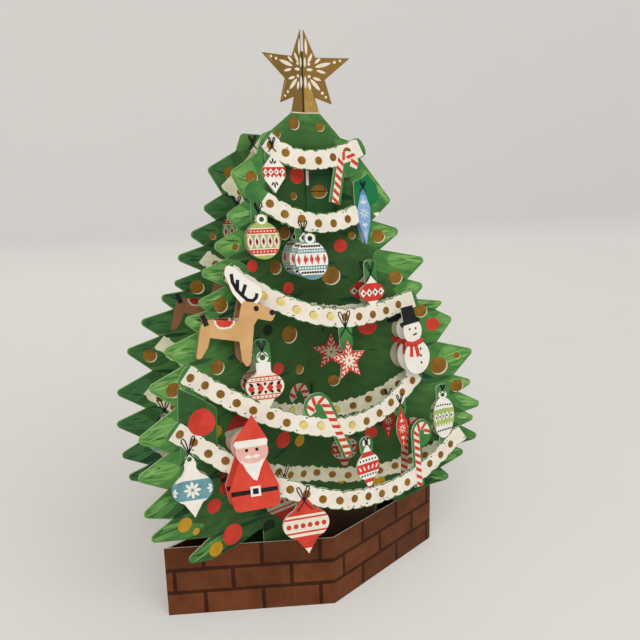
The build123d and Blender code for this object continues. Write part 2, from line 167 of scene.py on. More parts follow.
planter_half_width = 64.0
planter_half_depth = 24.0
planter_height = 30.0
brick_pitch = 23.7
brick_joint = 1.4
course_height = 10.0
first_joints = (15.3, 3.3, 15.3)
brick_unevenness = 0.22
wall_margin = 0.1

planter_card = card_finish("planter_card", (0.054, 0.016, 0.006), (0.034, 0.010, 0.004))
cut_edge(planter_card, "Z", 0.7, 1.1, (0.62, 0.55, 0.48))
dress("planter", planter_card)
brick_tones = {
    "brick_red": ((0.150, 0.046, 0.017), (0.104, 0.031, 0.011)),
    "brick_brown": ((0.130, 0.040, 0.014), (0.090, 0.028, 0.010)),
    "brick_warm": ((0.168, 0.050, 0.018), (0.116, 0.034, 0.012)),
}
brick_inks = {name: card_finish(name, *tones) for name, tones in brick_tones.items()}
wall_length = hypot(planter_half_width, planter_half_depth)
planter_corners = [Vector((-planter_half_width, 0, 0)), Vector((0, -planter_half_depth, 0)),
                   Vector((planter_half_width, 0, 0)), Vector((0, planter_half_depth, 0))]


def planter_wall(along, z, lift):
    """A place on the planter's outside, by its distance along the strip from the left corner."""
    wall = min(int(along / wall_length), 3)
    start = planter_corners[wall]
    run = (planter_corners[(wall + 1) % 4] - start) / wall_length
    out = Vector((run.y, -run.x, 0))
    return start + run * (along - wall * wall_length) + out * lift + Vector((0, 0, z))


rng = random.Random(12)
bricks = []
for course, first in enumerate(first_joints):
    low = course * course_height + (wall_margin if course == 0 else brick_joint / 2)
    high = (course + 1) * course_height - (wall_margin if course == 2 else brick_joint / 2)
    left = first - brick_pitch
    while left < 4 * wall_length:
        start = max(left + brick_joint / 2, wall_margin)
        end = min(left + brick_pitch - brick_joint / 2, 4 * wall_length - wall_margin)
        left += brick_pitch
        if end - start < brick_joint:
            continue
        slack = [rng.uniform(0, brick_unevenness) for _ in range(8)]
        outline = [(start + slack[0], low + slack[1]), (end - slack[2], low + slack[3]),
                   (end - slack[4], high - slack[5]), (start + slack[6], high - slack[7])]
        bricks.append((outline, rng.choice(list(brick_inks)), 1))
wall_folds = [((wall_length * k, 0, 0), (1, 0, 0)) for k in (1, 2, 3)]
print_on("planter_bricks", bricks, brick_inks, wall_folds, planter_wall)


# Tree sheets: a front and a back one, each die-cut from one card and folded down the middle.
# Both faces carry painted foliage, light at the branch tips and dark within, with printed
# garlands, ornaments and foil dots over it; the front one runs up into a neck and a foil star.
# The back sheet is printed darker than the front one: painted shade, as it stands behind it.
tree_half_span = 75.0
crown_height = 168.0
neck_height = planter_height + crown_height
neck_half_width = 5.8
fold_depth = 6.5
wing_slope = 0.26
wing_card = card * hypot(1, wing_slope)
tip_allowance = 1.8
branch_round = 1.8
back_rise = 2.5
left_branch_shares = [
    (0.20, 0.96), (0.26, 0.95), (0.29, 0.91), (0.42, 0.87), (0.37, 0.81), (0.46, 0.78),
    (0.41, 0.75), (0.54, 0.72), (0.48, 0.69), (0.63, 0.665), (0.50, 0.63), (0.64, 0.605),
    (0.60, 0.583), (0.72, 0.575), (0.66, 0.54), (0.83, 0.515), (0.74, 0.475), (0.91, 0.445),
    (0.79, 0.39), (0.98, 0.34), (0.84, 0.295), (1.0, 0.26), (0.86, 0.215), (0.99, 0.175),
    (0.85, 0.145), (0.98, 0.115), (0.66, 0.068), (0.80, 0.03), (0.66, 0.012), (0.49, 0.022),
]
right_branch_shares = [
    (0.18, 0.945), (0.30, 0.925), (0.27, 0.905), (0.42, 0.80), (0.34, 0.755), (0.48, 0.73),
    (0.38, 0.685), (0.62, 0.66), (0.53, 0.61), (0.61, 0.595), (0.56, 0.56), (0.72, 0.55),
    (0.69, 0.53), (0.77, 0.505), (0.70, 0.447), (0.90, 0.42), (0.80, 0.356), (0.91, 0.336),
    (0.83, 0.31), (0.97, 0.27), (0.87, 0.255), (0.92, 0.234), (0.85, 0.217), (0.96, 0.18),
    (0.80, 0.163), (0.87, 0.143), (0.73, 0.105), (0.78, 0.072), (0.67, 0.06), (0.49, 0.024),
]


def place(across_share, up_share):
    """A place on the front view, from its shares of the half span and the crown's height."""
    return (across_share * tree_half_span, planter_height + up_share * crown_height)


def places(shares):
    """Places on the front view, from pairs of shares."""
    return [place(*pair) for pair in shares]


def moved(points, x, z, wide=1, high=1):
    """Points given about a middle, stretched and brought to their place."""
    return [(x + wide * u, z + high * v) for u, v in points]


def foliage(name, gold_above, depth):
    """Painted foliage: dark green within, lighter towards the tips, in soft sloping brush strokes."""
    material = card_finish(name, (0.150, 0.340, 0.085), (0.025, 0.067, 0.019), patch=4, drag=3.2)
    nodes = material.node_tree.nodes
    height = nodes["Separate XYZ"].outputs["Z"]
    strokes = nodes["Noise Texture"]
    strokes.inputs["Distortion"].default_value = 0.5
    ramp = nodes["Color Ramp"].color_ramp
    ramp.elements[0].position = 0.12
    ramp.elements[1].position = 1.0
    for position, colour in ((0.38, (0.038, 0.098, 0.027)), (0.58, (0.054, 0.150, 0.040)),
                             (0.78, (0.085, 0.235, 0.055))):
        ramp.elements.new(position).color = (*colour, 1)
    # Painted shade: depth below 1 darkens every tone, for the back sheet.
    for element in ramp.elements:
        element.color = (*[depth * tone for tone in element.color[:3]], 1)
    reach = shader_node(material, "MapRange", {"Value": height, "From Min": 70 * mm, "From Max": 205 * mm,
                                               "To Min": 80 * mm, "To Max": 16 * mm})
    crest = shader_node(material, "MapRange", {"Value": height, "From Min": 182 * mm, "From Max": 197 * mm,
                                               "To Min": -0.06, "To Max": 0.34})
    share = reckon(material, "DIVIDE", nodes["Math"].outputs["Value"], reach.outputs["Result"])
    steep = reckon(material, "POWER", share, 2.8)
    weighed = reckon(material, "MULTIPLY_ADD", strokes.outputs["Fac"], 0.95, steep)
    lowered = reckon(material, "MULTIPLY_ADD", weighed, 0.76, crest.outputs["Result"])
    feed(material, nodes["Color Ramp"], {"Fac": lowered})
    cut_edge(material, "Y", -0.1, 0.6, (0.42, 0.52, 0.30))
    foil = reckon(material, "GREATER_THAN", height, gold_above * mm)
    blend(material, foil, (0.250, 0.145, 0.040))
    gloss = shader_node(material, "MapRange", {"Value": foil, "To Min": 0.58, "To Max": 0.36})
    feed(material, nodes["Principled BSDF"], {"Metallic": reckon(material, "MULTIPLY", foil, 0.6),
                                              "Roughness": gloss.outputs["Result"]})
    return material


dress("front_tree", foliage("front_foliage", neck_height - 0.3, 1.0))
# The back sheet's foliage at three quarters of the front's tones is painted shade.
dress("back_tree", foliage("back_foliage", 2 * neck_height, 0.75))


def branch_points(shares, side, rise):
    """One wing's branches in mm, as (x, z, is it a tip)."""
    points = []
    for i, (across_share, up_share) in enumerate(shares):
        x, z = place(across_share, up_share)
        is_tip = across_share > max(shares[i - 1][0], shares[(i + 1) % len(shares)][0])
        points.append((side * (x + tip_allowance * is_tip), z + rise, is_tip))
    return points


def rounded(points, wanted):
    """A die-cut outline: outer corners rounded by what their runs have room for, inner ones sharp."""
    ring = [Vector(p) for p in points]
    way = sum(a.cross(b) for a, b in zip(ring, ring[1:] + ring[:1]))
    out = []
    for i, corner in enumerate(ring):
        before = ring[i - 1] - corner
        after = ring[(i + 1) % len(ring)] - corner
        if after.cross(before) * way <= 0:
            out.append(corner)
            continue
        half = before.angle(after) / 2
        radius = min(wanted, 0.45 * min(before.length, after.length) * tan(half))
        before.normalize()
        after.normalize()
        middle = corner + (before + after).normalized() * (radius / sin(half))
        a = corner + before * (radius / tan(half)) - middle
        b = corner + after * (radius / tan(half)) - middle
        out += [middle + a.lerp(b, t).normalized() * radius for t in (0, 0.2, 0.4, 0.6, 0.8, 1)]
    return out


def keeper(outline, margin=0.35, row_height=4.0):
    """A test of whether a place lies on a card with this outline, clear of its cut edge."""
    rows = {}
    for a, b in zip(outline, outline[1:] + outline[:1]):
        first = int((min(a[1], b[1]) - margin) // row_height)
        last = int((max(a[1], b[1]) + margin) // row_height)
        for row in range(first, last + 1):
            rows.setdefault(row, []).append((Vector(a), Vector(b)))

    def keeps(x, z):
        inside = False
        for a, b in rows.get(int(z // row_height), []):
            run = b - a
            if (a.y > z) != (b.y > z) and x < a.x + (z - a.y) * run.x / run.y:
                inside = not inside
            along = max(0, min(1, (Vector((x, z)) - a).dot(run) / run.length_squared))
            if (a + run * along - Vector((x, z))).length < margin:
                return False
        return inside
    return keeps


def drawn_in(fields, keeps):
    """Fields with their corners drawn in towards their hearts until they lie on the card."""
    out = []
    for outline, ink, layer in fields:
        if all(keeps(*corner) for corner in outline):
            out.append((outline, ink, layer))
            continue
        heart = sum((Vector(corner) for corner in outline), Vector((0, 0))) / len(outline)
        if not keeps(*heart):
            continue
        kept = []
        for corner in outline:
            share = 1.0
            while share > 0.04 and not keeps(*heart.lerp(Vector(corner), share)):
                share -= 0.04
            kept.append(heart.lerp(Vector(corner), share))
        out.append((kept, ink, layer))
    return out


def smooth(points, steps=3):
    """A closed outline rounded through its points."""
    ring = [Vector(p) for p in points]
    count = len(ring)
    out = []
    for i in range(count):
        a, b, c, d = (ring[(i + k - 1) % count] for k in range(4))
        for t in [s / steps for s in range(steps)]:
            out.append(0.5 * (2 * b + (c - a) * t + (2 * a - 5 * b + 4 * c - d) * t * t
                              + (3 * b - a - 3 * c + d) * t ** 3))
    return out


def lens(start, end, width):
    """A brush stroke or petal: pointed at both ends and broadest in the middle."""
    a = Vector(start)
    b = Vector(end)
    side = Vector((-(b - a).y, (b - a).x)).normalized() * (width / 2)
    profile = ((0, 0.1), (0.2, 0.75), (0.45, 1), (0.75, 0.8), (1, 0.15))
    right = [a.lerp(b, t) - side * w for t, w in reversed(profile)]
    return [a.lerp(b, t) + side * w for t, w in profile] + right


def oval(x, z, half_width, half_height, count=16):
    """An oval's outline."""
    return [(x + half_width * cos(2 * pi * i / count), z + half_height * sin(2 * pi * i / count))
            for i in range(count)]


def ribbon(points, width):
    """A pen or brush line of even width along its points."""
    line = [Vector(p) for p in points]
    left = []
    right = []
    for i, p in enumerate(line):
        run = (line[min(i + 1, len(line) - 1)] - line[max(i - 1, 0)]).normalized()
        side = Vector((-run.y, run.x)) * (width / 2)
        left.append(p + side)
        right.append(p - side)
    return left + right[::-1]


# Branch print tones for the front and the back sheet; the back's darker tones are painted shade.
leaf_tones = {-1: ("leaf_mid", "leaf", "leaf_light", "leaf_deep"),
              1: ("leaf_deep", "leaf_shaded", "leaf_shaded", "leaf_dark")}
shaded_tones = {"leaf_mid": "leaf_deep", "leaf": "leaf_mid", "leaf_light": "leaf", "leaf_deep": "leaf_dark"}
shade_below = 62
inner_strokes = 110


def branch_fields(fields, rng, rise, tones):
    """Each branch: a broad light end, a lighter heart, strokes along it and a dark stroke below."""
    for shares, side in ((left_branch_shares, -1), (right_branch_shares, 1)):
        points = branch_points(shares, side, rise)
        for i, (x, z, is_tip) in enumerate(points):
            if not is_tip or i == len(points) - 1:
                continue
            broad, heart, light, deep = [shaded_tones.get(t, t) if z < shade_below else t for t in tones]
            tip = Vector((x, z))
            above = Vector(points[i - 1][:2])
            below = Vector(points[i + 1][:2])
            root = (above + below) / 2
            inward = (root - tip).normalized()
            length = (root - tip).length
            reach = length * rng.uniform(1.25, 1.6) + 3.5
            for ink, share, layer in ((broad, 1.0, 1), (heart, 0.74, 2)):
                far = tip + inward * reach * share + Vector((0, rng.uniform(-1.0, 1.0)))
                slack = (1 - share) * 0.6
                start = tip + inward * (0.6 + 2 * slack)
                upper = [tip.lerp(above, along * share).lerp(root, slack) for along in (0.4, 1.05)]
                lower = [tip.lerp(below, along * share).lerp(root, slack) for along in (0.9, 0.35)]
                end = [far + Vector((0, 1.5 * share)), far - Vector((inward.x * 2, 1.6 * share))]
                fields.append((smooth([start] + upper + end + lower), ink, layer))
            for setback, lift, run, drift, width, ink, layer in (
                    ((1.5, 5.0), (-0.16, 0.2), (0.3, 0.6), (-0.1, 0.25), (0.6, 1.4), light, 3),
                    ((2.0, 6.0), (-0.2, 0.2), (0.3, 0.7), (-0.2, 0.2), (0.5, 1.0), broad, 2.5)):
                for _ in range(3):
                    start = tip + inward * rng.uniform(*setback) + Vector((0, rng.uniform(*lift) * length))
                    stop = start + inward * rng.uniform(*run) * reach
                    stop += Vector((0, rng.uniform(*drift) * length))
                    fields.append((lens(start, stop, rng.uniform(*width)), ink, layer))
            start = below + inward * rng.uniform(0.4, 1.2)
            stop = start + inward * rng.uniform(0.5, 0.8) * reach + Vector((0, rng.uniform(0.5, 2.0)))
            fields.append((lens(start, stop, rng.uniform(1.6, 2.6)), deep, 3.5))
    for _ in range(inner_strokes):
        z = rng.uniform(38, 182)
        wide = 66 - 0.34 * (z - 38)
        x = rng.uniform(-wide, wide)
        run = Vector((1 if x > 0 else -1, rng.uniform(-0.55, 0.1))) * rng.uniform(5, 12)
        ink = tones[3] if rng.random() < 0.6 else "leaf_dark"
        fields.append((lens((x, z), (x + run.x, z + run.y), rng.uniform(1.2, 2.6)), ink, 0.5))


dots = {
    "gold": [
        (-4.9, 194.2, 2.3), (-12.5, 189.9, 1.3), (5.8, 192.9, 1.5), (-24.4, 174.3, 2.4), (-6.2, 167.3, 1.4),
        (-11.0, 153.5, 2.4), (-15.7, 140.8, 2.6), (8.5, 135.7, 3.6), (34.8, 133.5, 2.6), (27.8, 150.5, 2.5),
        (17.2, 151.3, 1.4), (45.3, 118.9, 2.6), (-10.4, 113.7, 3.4), (-39.8, 129.4, 2.7), (-42.5, 106.7, 2.6),
        (-59.9, 102.0, 2.6), (-32.5, 149.7, 1.3), (-37.4, 95.2, 1.2), (-6.1, 98.4, 1.9), (8.8, 91.7, 2.3),
        (53.1, 94.7, 3.7), (61.1, 98.5, 1.4), (61.3, 85.0, 2.7), (56.0, 56.0, 2.2),
    ],
    "yellow": [
        (-44.5, 82.5, 2.4), (-7.1, 67.9, 2.4), (-59.2, 50.4, 2.8), (-55.1, 46.1, 1.4), (-47.5, 35.7, 2.9),
        (27.2, 44.7, 2.9), (11.2, 46.6, 1.5),
    ],
    "red": [
        (-4.2, 175.1, 3.4), (-25.8, 142.2, 2.3), (-10.0, 132.1, 2.4), (12.7, 147.3, 2.6), (50.5, 112.8, 2.8),
        (23.1, 114.1, 4.0), (-16.2, 100.5, 2.5), (-15.1, 70.5, 3.4), (-47.2, 53.5, 2.9), (-40.2, 38.9, 4.3),
        (24.3, 67.2, 2.7), (-41.8, 59.1, 2.7), (56.5, 73.0, 2.4),
    ],
    "black_green": [(-20.2, 116.9, 2.2), (-23.6, 35.7, 2.9), (14.0, 40.0, 2.2), (44.0, 132.0, 1.0)],
}


def dot_fields(fields):
    """Foil and ink dots scattered over the foliage, the foil ones with a pale rim at the lower right."""
    for ink, table in dots.items():
        for x, z, radius in table:
            fields.append((oval(x, z, radius, radius, 22), ink, 5))
            if ink == "gold":
                fields.append((oval(x + 0.12 * radius, z - 0.14 * radius, radius, radius, 22), "rim", 4.5))


garland_shares = [
    ((-0.244, 0.943), (-0.013, 0.895), (0.289, 0.926)),
    ((-0.347, 0.842), (0.040, 0.755), (0.387, 0.807)),
    ((-0.487, 0.664), (0.187, 0.536), (0.573, 0.562)),
    ((-0.743, 0.462), (0.107, 0.292), (0.573, 0.378)),
    ((-0.820, 0.344), (0.267, 0.112), (0.867, 0.202)),
]
garland_width = 0.0387 * crown_height
# Painted highlights: spans across each garland, in mm, where its foil dots are drawn in pale gold.
highlight_spans = [(0, 0), (0, 0), (-30, 2), (-16, 11), (0, 0)]


def garland_line(number, x):
    """The height of a garland's sagging middle line, at a place across."""
    left, low, right = [place(*pair) for pair in garland_shares[number]]
    end = left if x < low[0] else right
    return low[1] + (end[1] - low[1]) * ((x - low[0]) / (end[0] - low[0])) ** 2


def garland_frame(number, x):
    """A garland's middle point and its upward normal, at a place across."""
    run = Vector((0.2, garland_line(number, x + 0.1) - garland_line(number, x - 0.1))).normalized()
    return Vector((x, garland_line(number, x))), Vector((-run.y, run.x))


def garland_dots(fields, number, start, end, layer, pitch=6.8, radius=1.55):
    """Foil dots along a garland with a rim at one side; those in the highlight spans are painted highlights.
    """
    x = start + 2.6
    while x < end - 1.8:
        middle, normal = garland_frame(number, x)
        spot = middle + normal * 0.45 * sin(x * 1.7)
        highlighted = highlight_spans[number][0] < x < highlight_spans[number][1]
        ink, rim, way = ("dot_highlight_gold", "gold", -1) if highlighted else ("gold", "rim", 1)
        fields += [(oval(spot.x + 0.2 * way, spot.y - 0.22 * way, radius, radius, 18), rim, layer),
                   (oval(spot.x, spot.y, radius, radius, 18), ink, layer + 0.5)]
        x += pitch / hypot(1, garland_line(number, x + 0.5) - garland_line(number, x - 0.5))


def printed_garland(fields, number, keeps, rng, layer, step=0.8):
    """A garland as it is printed on the tree: a shaded band with a furry edge, and its dots."""
    start = place(*garland_shares[number][0])[0]
    end = place(*garland_shares[number][2])[0]
    upper = []
    lower = []
    for i in range(round((end - start) / step) + 1):
        middle, normal = garland_frame(number, start + step * i)
        top = middle + normal * (garland_width / 2 + rng.uniform(-0.7, 0.5))
        foot = middle - normal * (garland_width / 2 + rng.uniform(-0.7, 0.5))
        if keeps(*top) and keeps(*foot):
            upper.append(top)
            lower.append(foot)
    fields.append((upper + lower[::-1], "wool", layer))
    garland_dots(fields, number, upper[0][0], upper[-1][0], layer + 1)


# The ornaments' print, from the ground up. Heights in a recipe are shares of the half height,
# from -1 to 1, and sizes are shares of the half width or half height.
half_width_forms = {
    "bauble": lambda v: sqrt(max(0, 1 - v * v)),
    "drop": lambda v: min(1, (1 - v) / 0.75, (1 + v) / 0.83),
    "onion": lambda v: max(sqrt(max(0, 1 - (v / 0.56) ** 2)),
                           min((1 - v) / 0.75 * 0.70, (1 + v) / 0.67 * 0.60) if abs(v) > 0.2 else 0),
}
recipes = {
    "diamond_drop": [
        ("band", -1, 1, "white"), ("band", -0.24, 0.30, "red"), ("diamonds", 0.06, 4, 0.17, "white", 0.95),
        ("dots", 0.06, 4, 0.075, "black"), ("zigzag", -0.24, 5, 0.15, "white"),
        ("fan", 0.36, 3, 0.40, "black"), ("fan", -0.36, 3, -0.40, "black"),
    ],
    "icicle": [
        ("band", -1, 1, "sky"), ("band", 0.70, 1, "blue"), ("flake", 0.08, 8, 0.20, "white"),
        ("fan", 0.34, 3, 0.24, "white"), ("fan", -0.20, 3, -0.24, "white"),
        ("petals", -0.62, 1, 0.22, "white"), ("petals", 0.62, 1, 0.14, "pale_blue"),
    ],
    "striped_bauble": [
        ("band", -1, 1, "lime"), ("band", -0.80, 0.68, "cream"), ("band", 0.38, 0.62, "red"),
        ("band", -0.72, -0.48, "red"), ("dots", 0.50, 8, 0.05, "cream"), ("dots", -0.60, 7, 0.05, "cream"),
        ("band", -0.42, 0.32, "olive"), ("lenses", -0.05, 5, 0.37, "cream", 0.86),
        ("diamonds", -0.05, 5, 0.24, "dark_red", 0.46), ("ring", 1.14, 0.30, "white", "leaf_deep"),
    ],
    "round_bauble": [
        ("band", -1, 1, "white"), ("band", -1, -0.76, "teal"), ("band", 0.88, 1, "teal"),
        ("dots", 0.74, 8, 0.075, "black"), ("dots", -0.63, 9, 0.075, "black"), ("band", 0.38, 0.60, "teal"),
        ("dots", 0.49, 10, 0.06, "white"), ("band", -0.50, -0.28, "teal"), ("dots", -0.39, 10, 0.06, "white"),
        ("diamonds", 0.05, 5, 0.28, "red", 0.62), ("diamonds", 0.05, 4, 0.16, "grey", 0.22),
        ("ring", 1.14, 0.31, "white", "black_green"),
    ],
    "red_onion": [
        ("band", -1, 1, "white"), ("band", -0.54, 0.54, "red"), ("diamonds", -0.02, 4, 0.25, "white", 1.0),
        ("dots", -0.02, 4, 0.085, "black"),
    ],
    "red_white_bauble": [
        ("band", -1, 1, "cream"), ("band", 0.36, 0.41, "red"), ("band", 0.20, 0.24, "red"),
        ("dots", 0.30, 7, 0.045, "red"), ("band", -0.34, -0.30, "red"), ("band", -0.50, -0.45, "red"),
        ("dots", -0.40, 6, 0.045, "red"), ("diamonds", -0.05, 4, 0.21, "red", 0.74),
        ("petals", 0.11, 5, 0.13, "black"), ("petals", -0.21, 5, -0.13, "black"),
        ("cap", 0.48, 0.95, 0.38, "white"), ("ring", 1.15, 0.31, "white", "leaf_deep"),
    ],
    "red_drop": [
        ("band", -1, 1, "red"), ("flake", 0.0, 8, 0.22, "cream"), ("fan", 0.26, 3, 0.24, "cream"),
        ("fan", -0.28, 3, -0.24, "cream"), ("petals", -0.66, 1, 0.18, "cream"),
        ("petals", 0.62, 1, 0.18, "cream"),
    ],
    "lime_egg": [
        ("band", -1, 1, "white"), ("dots", 0.62, 7, 0.075, "black"), ("band", -0.44, 0.44, "lime"),
        ("zigzag", -0.44, 6, 0.20, "white"), ("diamonds", 0.06, 5, 0.22, "white", 0.92),
        ("dots", 0.06, 5, 0.085, "black"), ("dots", -0.60, 8, 0.075, "black"),
        ("ring", 1.13, 0.34, "white", "leaf_deep"),
    ],
    "right_onion": [
        ("band", -1, 1, "white"), ("dots", 0.28, 6, 0.075, "black"), ("band", -0.24, 0.16, "red"),
        ("petals", -0.04, 5, 0.20, "white"), ("dots", -0.34, 6, 0.075, "black"),
        ("band", -0.66, -0.50, "red"), ("band", 0.42, 0.62, "red"), ("band", -0.95, -0.82, "red"),
        ("ring", 1.0, 0.34, "white", "leaf_deep"),
    ],
    "blue_onion": [
        ("band", -1, 1, "white"), ("band", -0.40, 0.30, "teal"), ("flake", -0.05, 8, 0.30, "white"),
        ("sides", -0.05, 2, 0.20, "white"), ("dots", -0.05, 1, 0.05, "teal"),
        ("cap", 0.52, 0.94, 0.29, "white"), ("ring", 1.04, 0.25, "white", "leaf_deep"),
    ],
    "bottom_onion": [
        ("band", -1, 1, "red"), ("band", -0.40, 0.32, "cream"), ("band", 0.18, 0.24, "red"),
        ("dots", -0.04, 6, 0.11, "red"), ("band", -0.30, -0.24, "red"), ("band", -1, -0.82, "cream"),
    ],
}
ornament_size = crown_height / 12
ornaments = [
    ("diamond_drop", "drop", 0, -0.204, -0.72, 0.64, 1.05),
    ("icicle", "drop", 1, 0.289, -0.17, 0.43, 1.64),
    ("red_onion", "onion", 2, 0.297, 0.60, 0.89, 0.95),
    ("red_white_bauble", "onion", 3, -0.348, 0.78, 1.03, 1.36),
    ("red_drop", "drop", 3, 0.422, -0.99, 0.41, 1.29),
    ("blue_onion", "onion", 4, -0.745, -1.30, 1.07, 1.50),
    ("bottom_onion", "onion", 4, -0.208, -0.82, 1.29, 1.62),
    ("right_onion", "onion", 4, 0.171, 0.86, 0.81, 1.36),
    ("lime_egg", "bauble", 4, 0.732, 0.97, 0.79, 1.28),
    ("round_bauble", "bauble", 1, -0.084, -1.03, 0.89, 1.01),
    ("striped_bauble", "bauble", 1, -0.299, -1.17, 0.89, 0.97),
]
bows = [
    (0, -0.204, -0.03, 3.2), (1, -0.299, -0.46, 3.6), (1, -0.084, -0.28, 3.8), (1, 0.289, 0.60, 2.4),
    (2, 0.103, -0.25, 6.2), (2, 0.297, 1.12, 4.6), (3, 0.422, -0.24, 3.8), (3, -0.348, 1.72, 3.6),
    (4, -0.745, -0.36, 6.0), (4, -0.208, -0.20, 5.6), (4, 0.171, 1.52, 2.2), (4, 0.732, 1.84, 2.2),
]


def hung(number, across_share, rise_share):
    """A place that keeps its distance from a garland's middle line."""
    x = across_share * tree_half_span
    return (x, garland_line(number, x) + rise_share * ornament_size)


step_layer = 0.25
petal_lean = 0.14
fan_turns = ((-0.55, 0.8), (0, 1), (0.55, 0.8))
diamond = ((-1, 0), (0, -1), (1, 0), (0, 1))
tooth = ((-1, 0), (0, 1), (1, 0))


def rays(x, z, reaches, near, width):
    """Petals round a heart, each from a share of its reach to its end."""
    return [lens((x + near * u, z + near * v), (x + u, z + v), width) for u, v in reaches]


def ornament_fields(fields, row, layer, margin=0.12):
    """One ornament's print: its ground, then its bands, dots, diamonds, zigzags and petals."""
    recipe, form, number, across_share, rise_share, wide_share, high_share = row
    x, z = hung(number, across_share, rise_share)
    half_width = wide_share * ornament_size / 2 - margin
    half_height = high_share * ornament_size / 2 - margin
    width_at = half_width_forms[form]
    for order, (kind, v, *step) in enumerate(recipes[recipe]):
        level = layer + step_layer * order
        h = z + half_height * v
        if kind == "band":
            top, ink = step
            rows = max(2, round((top - v) * 14))
            levels = [v + (top - v) * k / rows for k in range(rows + 1)]
            edge = [(half_width * max(width_at(u), 0.02), half_height * u) for u in levels]
            fields.append((moved(edge, x, z) + moved(reversed(edge), x, z, -1), ink, level))
            continue
        if kind == "cap":
            top, wide, ink = step
            corners = [(-wide, v), (wide, v), (wide, top), (-wide, top)]
            fields.append((moved(corners, x, z, half_width, half_height), ink, level))
            continue
        if kind == "ring":
            outer, ink, hole = step
            r = outer * half_width
            fields += [(oval(x, h, r, r, 18), ink, level),
                       (oval(x, h, 0.5 * r, 0.5 * r, 12), hole, level + step_layer)]
            continue
        count, size, ink = step[:3]
        room = half_width * width_at(v) * (0.92 if kind in ("dots", "petals") else 0.98)
        pitch = 2 * room / count
        centres = [x - room + pitch * (k + 0.5) for k in range(count)]
        tall = size * half_height
        petal = 0.15 * half_width
        if kind == "dots":
            r = size * half_width
            shapes = [oval(c, h, r, r, 10) for c in centres]
        elif kind == "diamonds":
            shapes = [moved(diamond, c, h, pitch * step[3] / 2, tall) for c in centres]
        elif kind == "lenses":
            shapes = [lens((c, h - tall), (c, h + tall), pitch * step[3]) for c in centres]
        elif kind == "zigzag":
            shapes = [moved(tooth, c, h, pitch / 2, tall) for c in centres]
        elif kind == "petals":
            shapes = [lens(*moved(((x - c, -1), (c - x, 1)), c, h, petal_lean, tall / 2), petal)
                      for c in centres]
        elif kind == "fan":
            reaches = [(tall * share * sin(turn), tall * share * cos(turn)) for turn, share in fan_turns]
            shapes = rays(x, h, reaches, 0.3, max(petal, 0.62))
        elif kind == "flake":
            turns = [2 * pi * k / count for k in range(count)]
            wide = min(tall, 0.8 * half_width)
            shapes = rays(x, h, [(wide * sin(turn), tall * cos(turn)) for turn in turns], 0.16, petal)
        elif kind == "sides":
            reaches = [(tall * cos(turn), tall * sin(turn)) for turn in (-0.9, 0, 0.9)]
            edge = 0.97 * half_width * width_at(v)
            shapes = rays(x - edge, h, reaches, 0.15, 0.13 * half_width)
            shapes += rays(x + edge, h, [(-u, w) for u, w in reaches], 0.15, 0.13 * half_width)
        fields += [(shape, ink, level) for shape in shapes]


bow_loop = [(0, 0), (0.22, 0.36), (0.43, 0.80), (0.42, 0.96),
            (0.30, 0.99), (0.18, 0.80), (0.07, 0.36), (0, 0)]
bow_end = [(0, 0), (0.26, -0.34), (0.52, -0.62)]
thread_width = 0.42


def bow_fields(fields, layer, number=None):
    """Thread bows above the ornaments, each of two long loops and two ends."""
    for on, across_share, rise_share, size in bows:
        if number not in (None, on):
            continue
        x, z = hung(on, across_share, rise_share)
        for side in (-1, 1):
            for line in (bow_loop, bow_end):
                fields.append((ribbon(moved(line, x, z, side * size, size), thread_width), "black", layer))


cane_width = 3.0
cane_hook = 3.0
stripe_pitch = 3.0
canes = [(0, 0.109, -1.22, 1.19, 15.7, 1), (3, 0.056, -0.81, 1.63, -21, -1), (4, 0.513, -0.39, 1.57, 1, 1)]


def cane_fields(fields, row, layer):
    """A candy cane: a pale stick with a hook, wound with slanting red stripes."""
    number, across_share, rise_share, long_share, lean, side = row
    along = Vector((sin(radians(lean)), cos(radians(lean))))
    over = Vector((along.y, -along.x)) * side
    foot = Vector(hung(number, across_share, rise_share)) + along * 0.2
    shoulder = foot + along * (long_share * ornament_size - 0.2)
    line = [foot.lerp(shoulder, k / 8) for k in range(8)]
    for turn in [pi * 1.12 * k / 10 for k in range(11)]:
        line.append(shoulder + over * cane_hook * (1 - cos(turn)) + along * cane_hook * sin(turn))
    fields.append((ribbon(line, cane_width), "cream", layer))
    travelled = 0.9
    for a, b in zip(line, line[1:]):
        ahead = (b - a).normalized()
        slope = Vector((-ahead.y, ahead.x)) * (cane_width / 2 - 0.05) + ahead * 0.8
        half = ahead * 0.72
        while travelled < (b - a).length:
            spot = a + ahead * travelled
            stripe = [spot - slope - half, spot - slope + half, spot + slope + half, spot + slope - half]
            fields.append((stripe, "red", layer + 0.5))
            travelled += stripe_pitch
        travelled -= (b - a).length


hanging_star_share = (0.109, -1.17, 0.60)
star_waist_share = 0.47
arm_petals = [(0.50, 0.68, 0.0, 0.7), (0.34, 0.56, 0.26, 0.75), (0.34, 0.56, -0.26, 0.75),
              (0.60, 0.74, 0.10, 0.5), (0.60, 0.74, -0.10, 0.5), (0.78, 0.88, 0, 0.55)]


def hanging_star_fields(fields, layer):
    """The red star under the middle garland, with pale petals along its arms."""
    x, z = hung(2, *hanging_star_share[:2])
    radius = hanging_star_share[2] * ornament_size - 0.15

    def spot(reach, turn):
        return (x + reach * radius * sin(turn), z + reach * radius * cos(turn))

    fields.append(([spot(star_waist_share if i % 2 else 1, i * pi / 5) for i in range(10)], "red", layer))
    for i in range(10):
        turn = i * pi / 5
        petals = [(0.05, 0.36, 0, 0.95)] if i % 2 else [(0.05, 0.44, 0, 0.95)] + arm_petals
        for near, far, swing, width in petals:
            petal = lens(spot(near, turn + swing), spot(far, turn + swing), width)
            fields.append((petal, "cream", layer + 0.5))


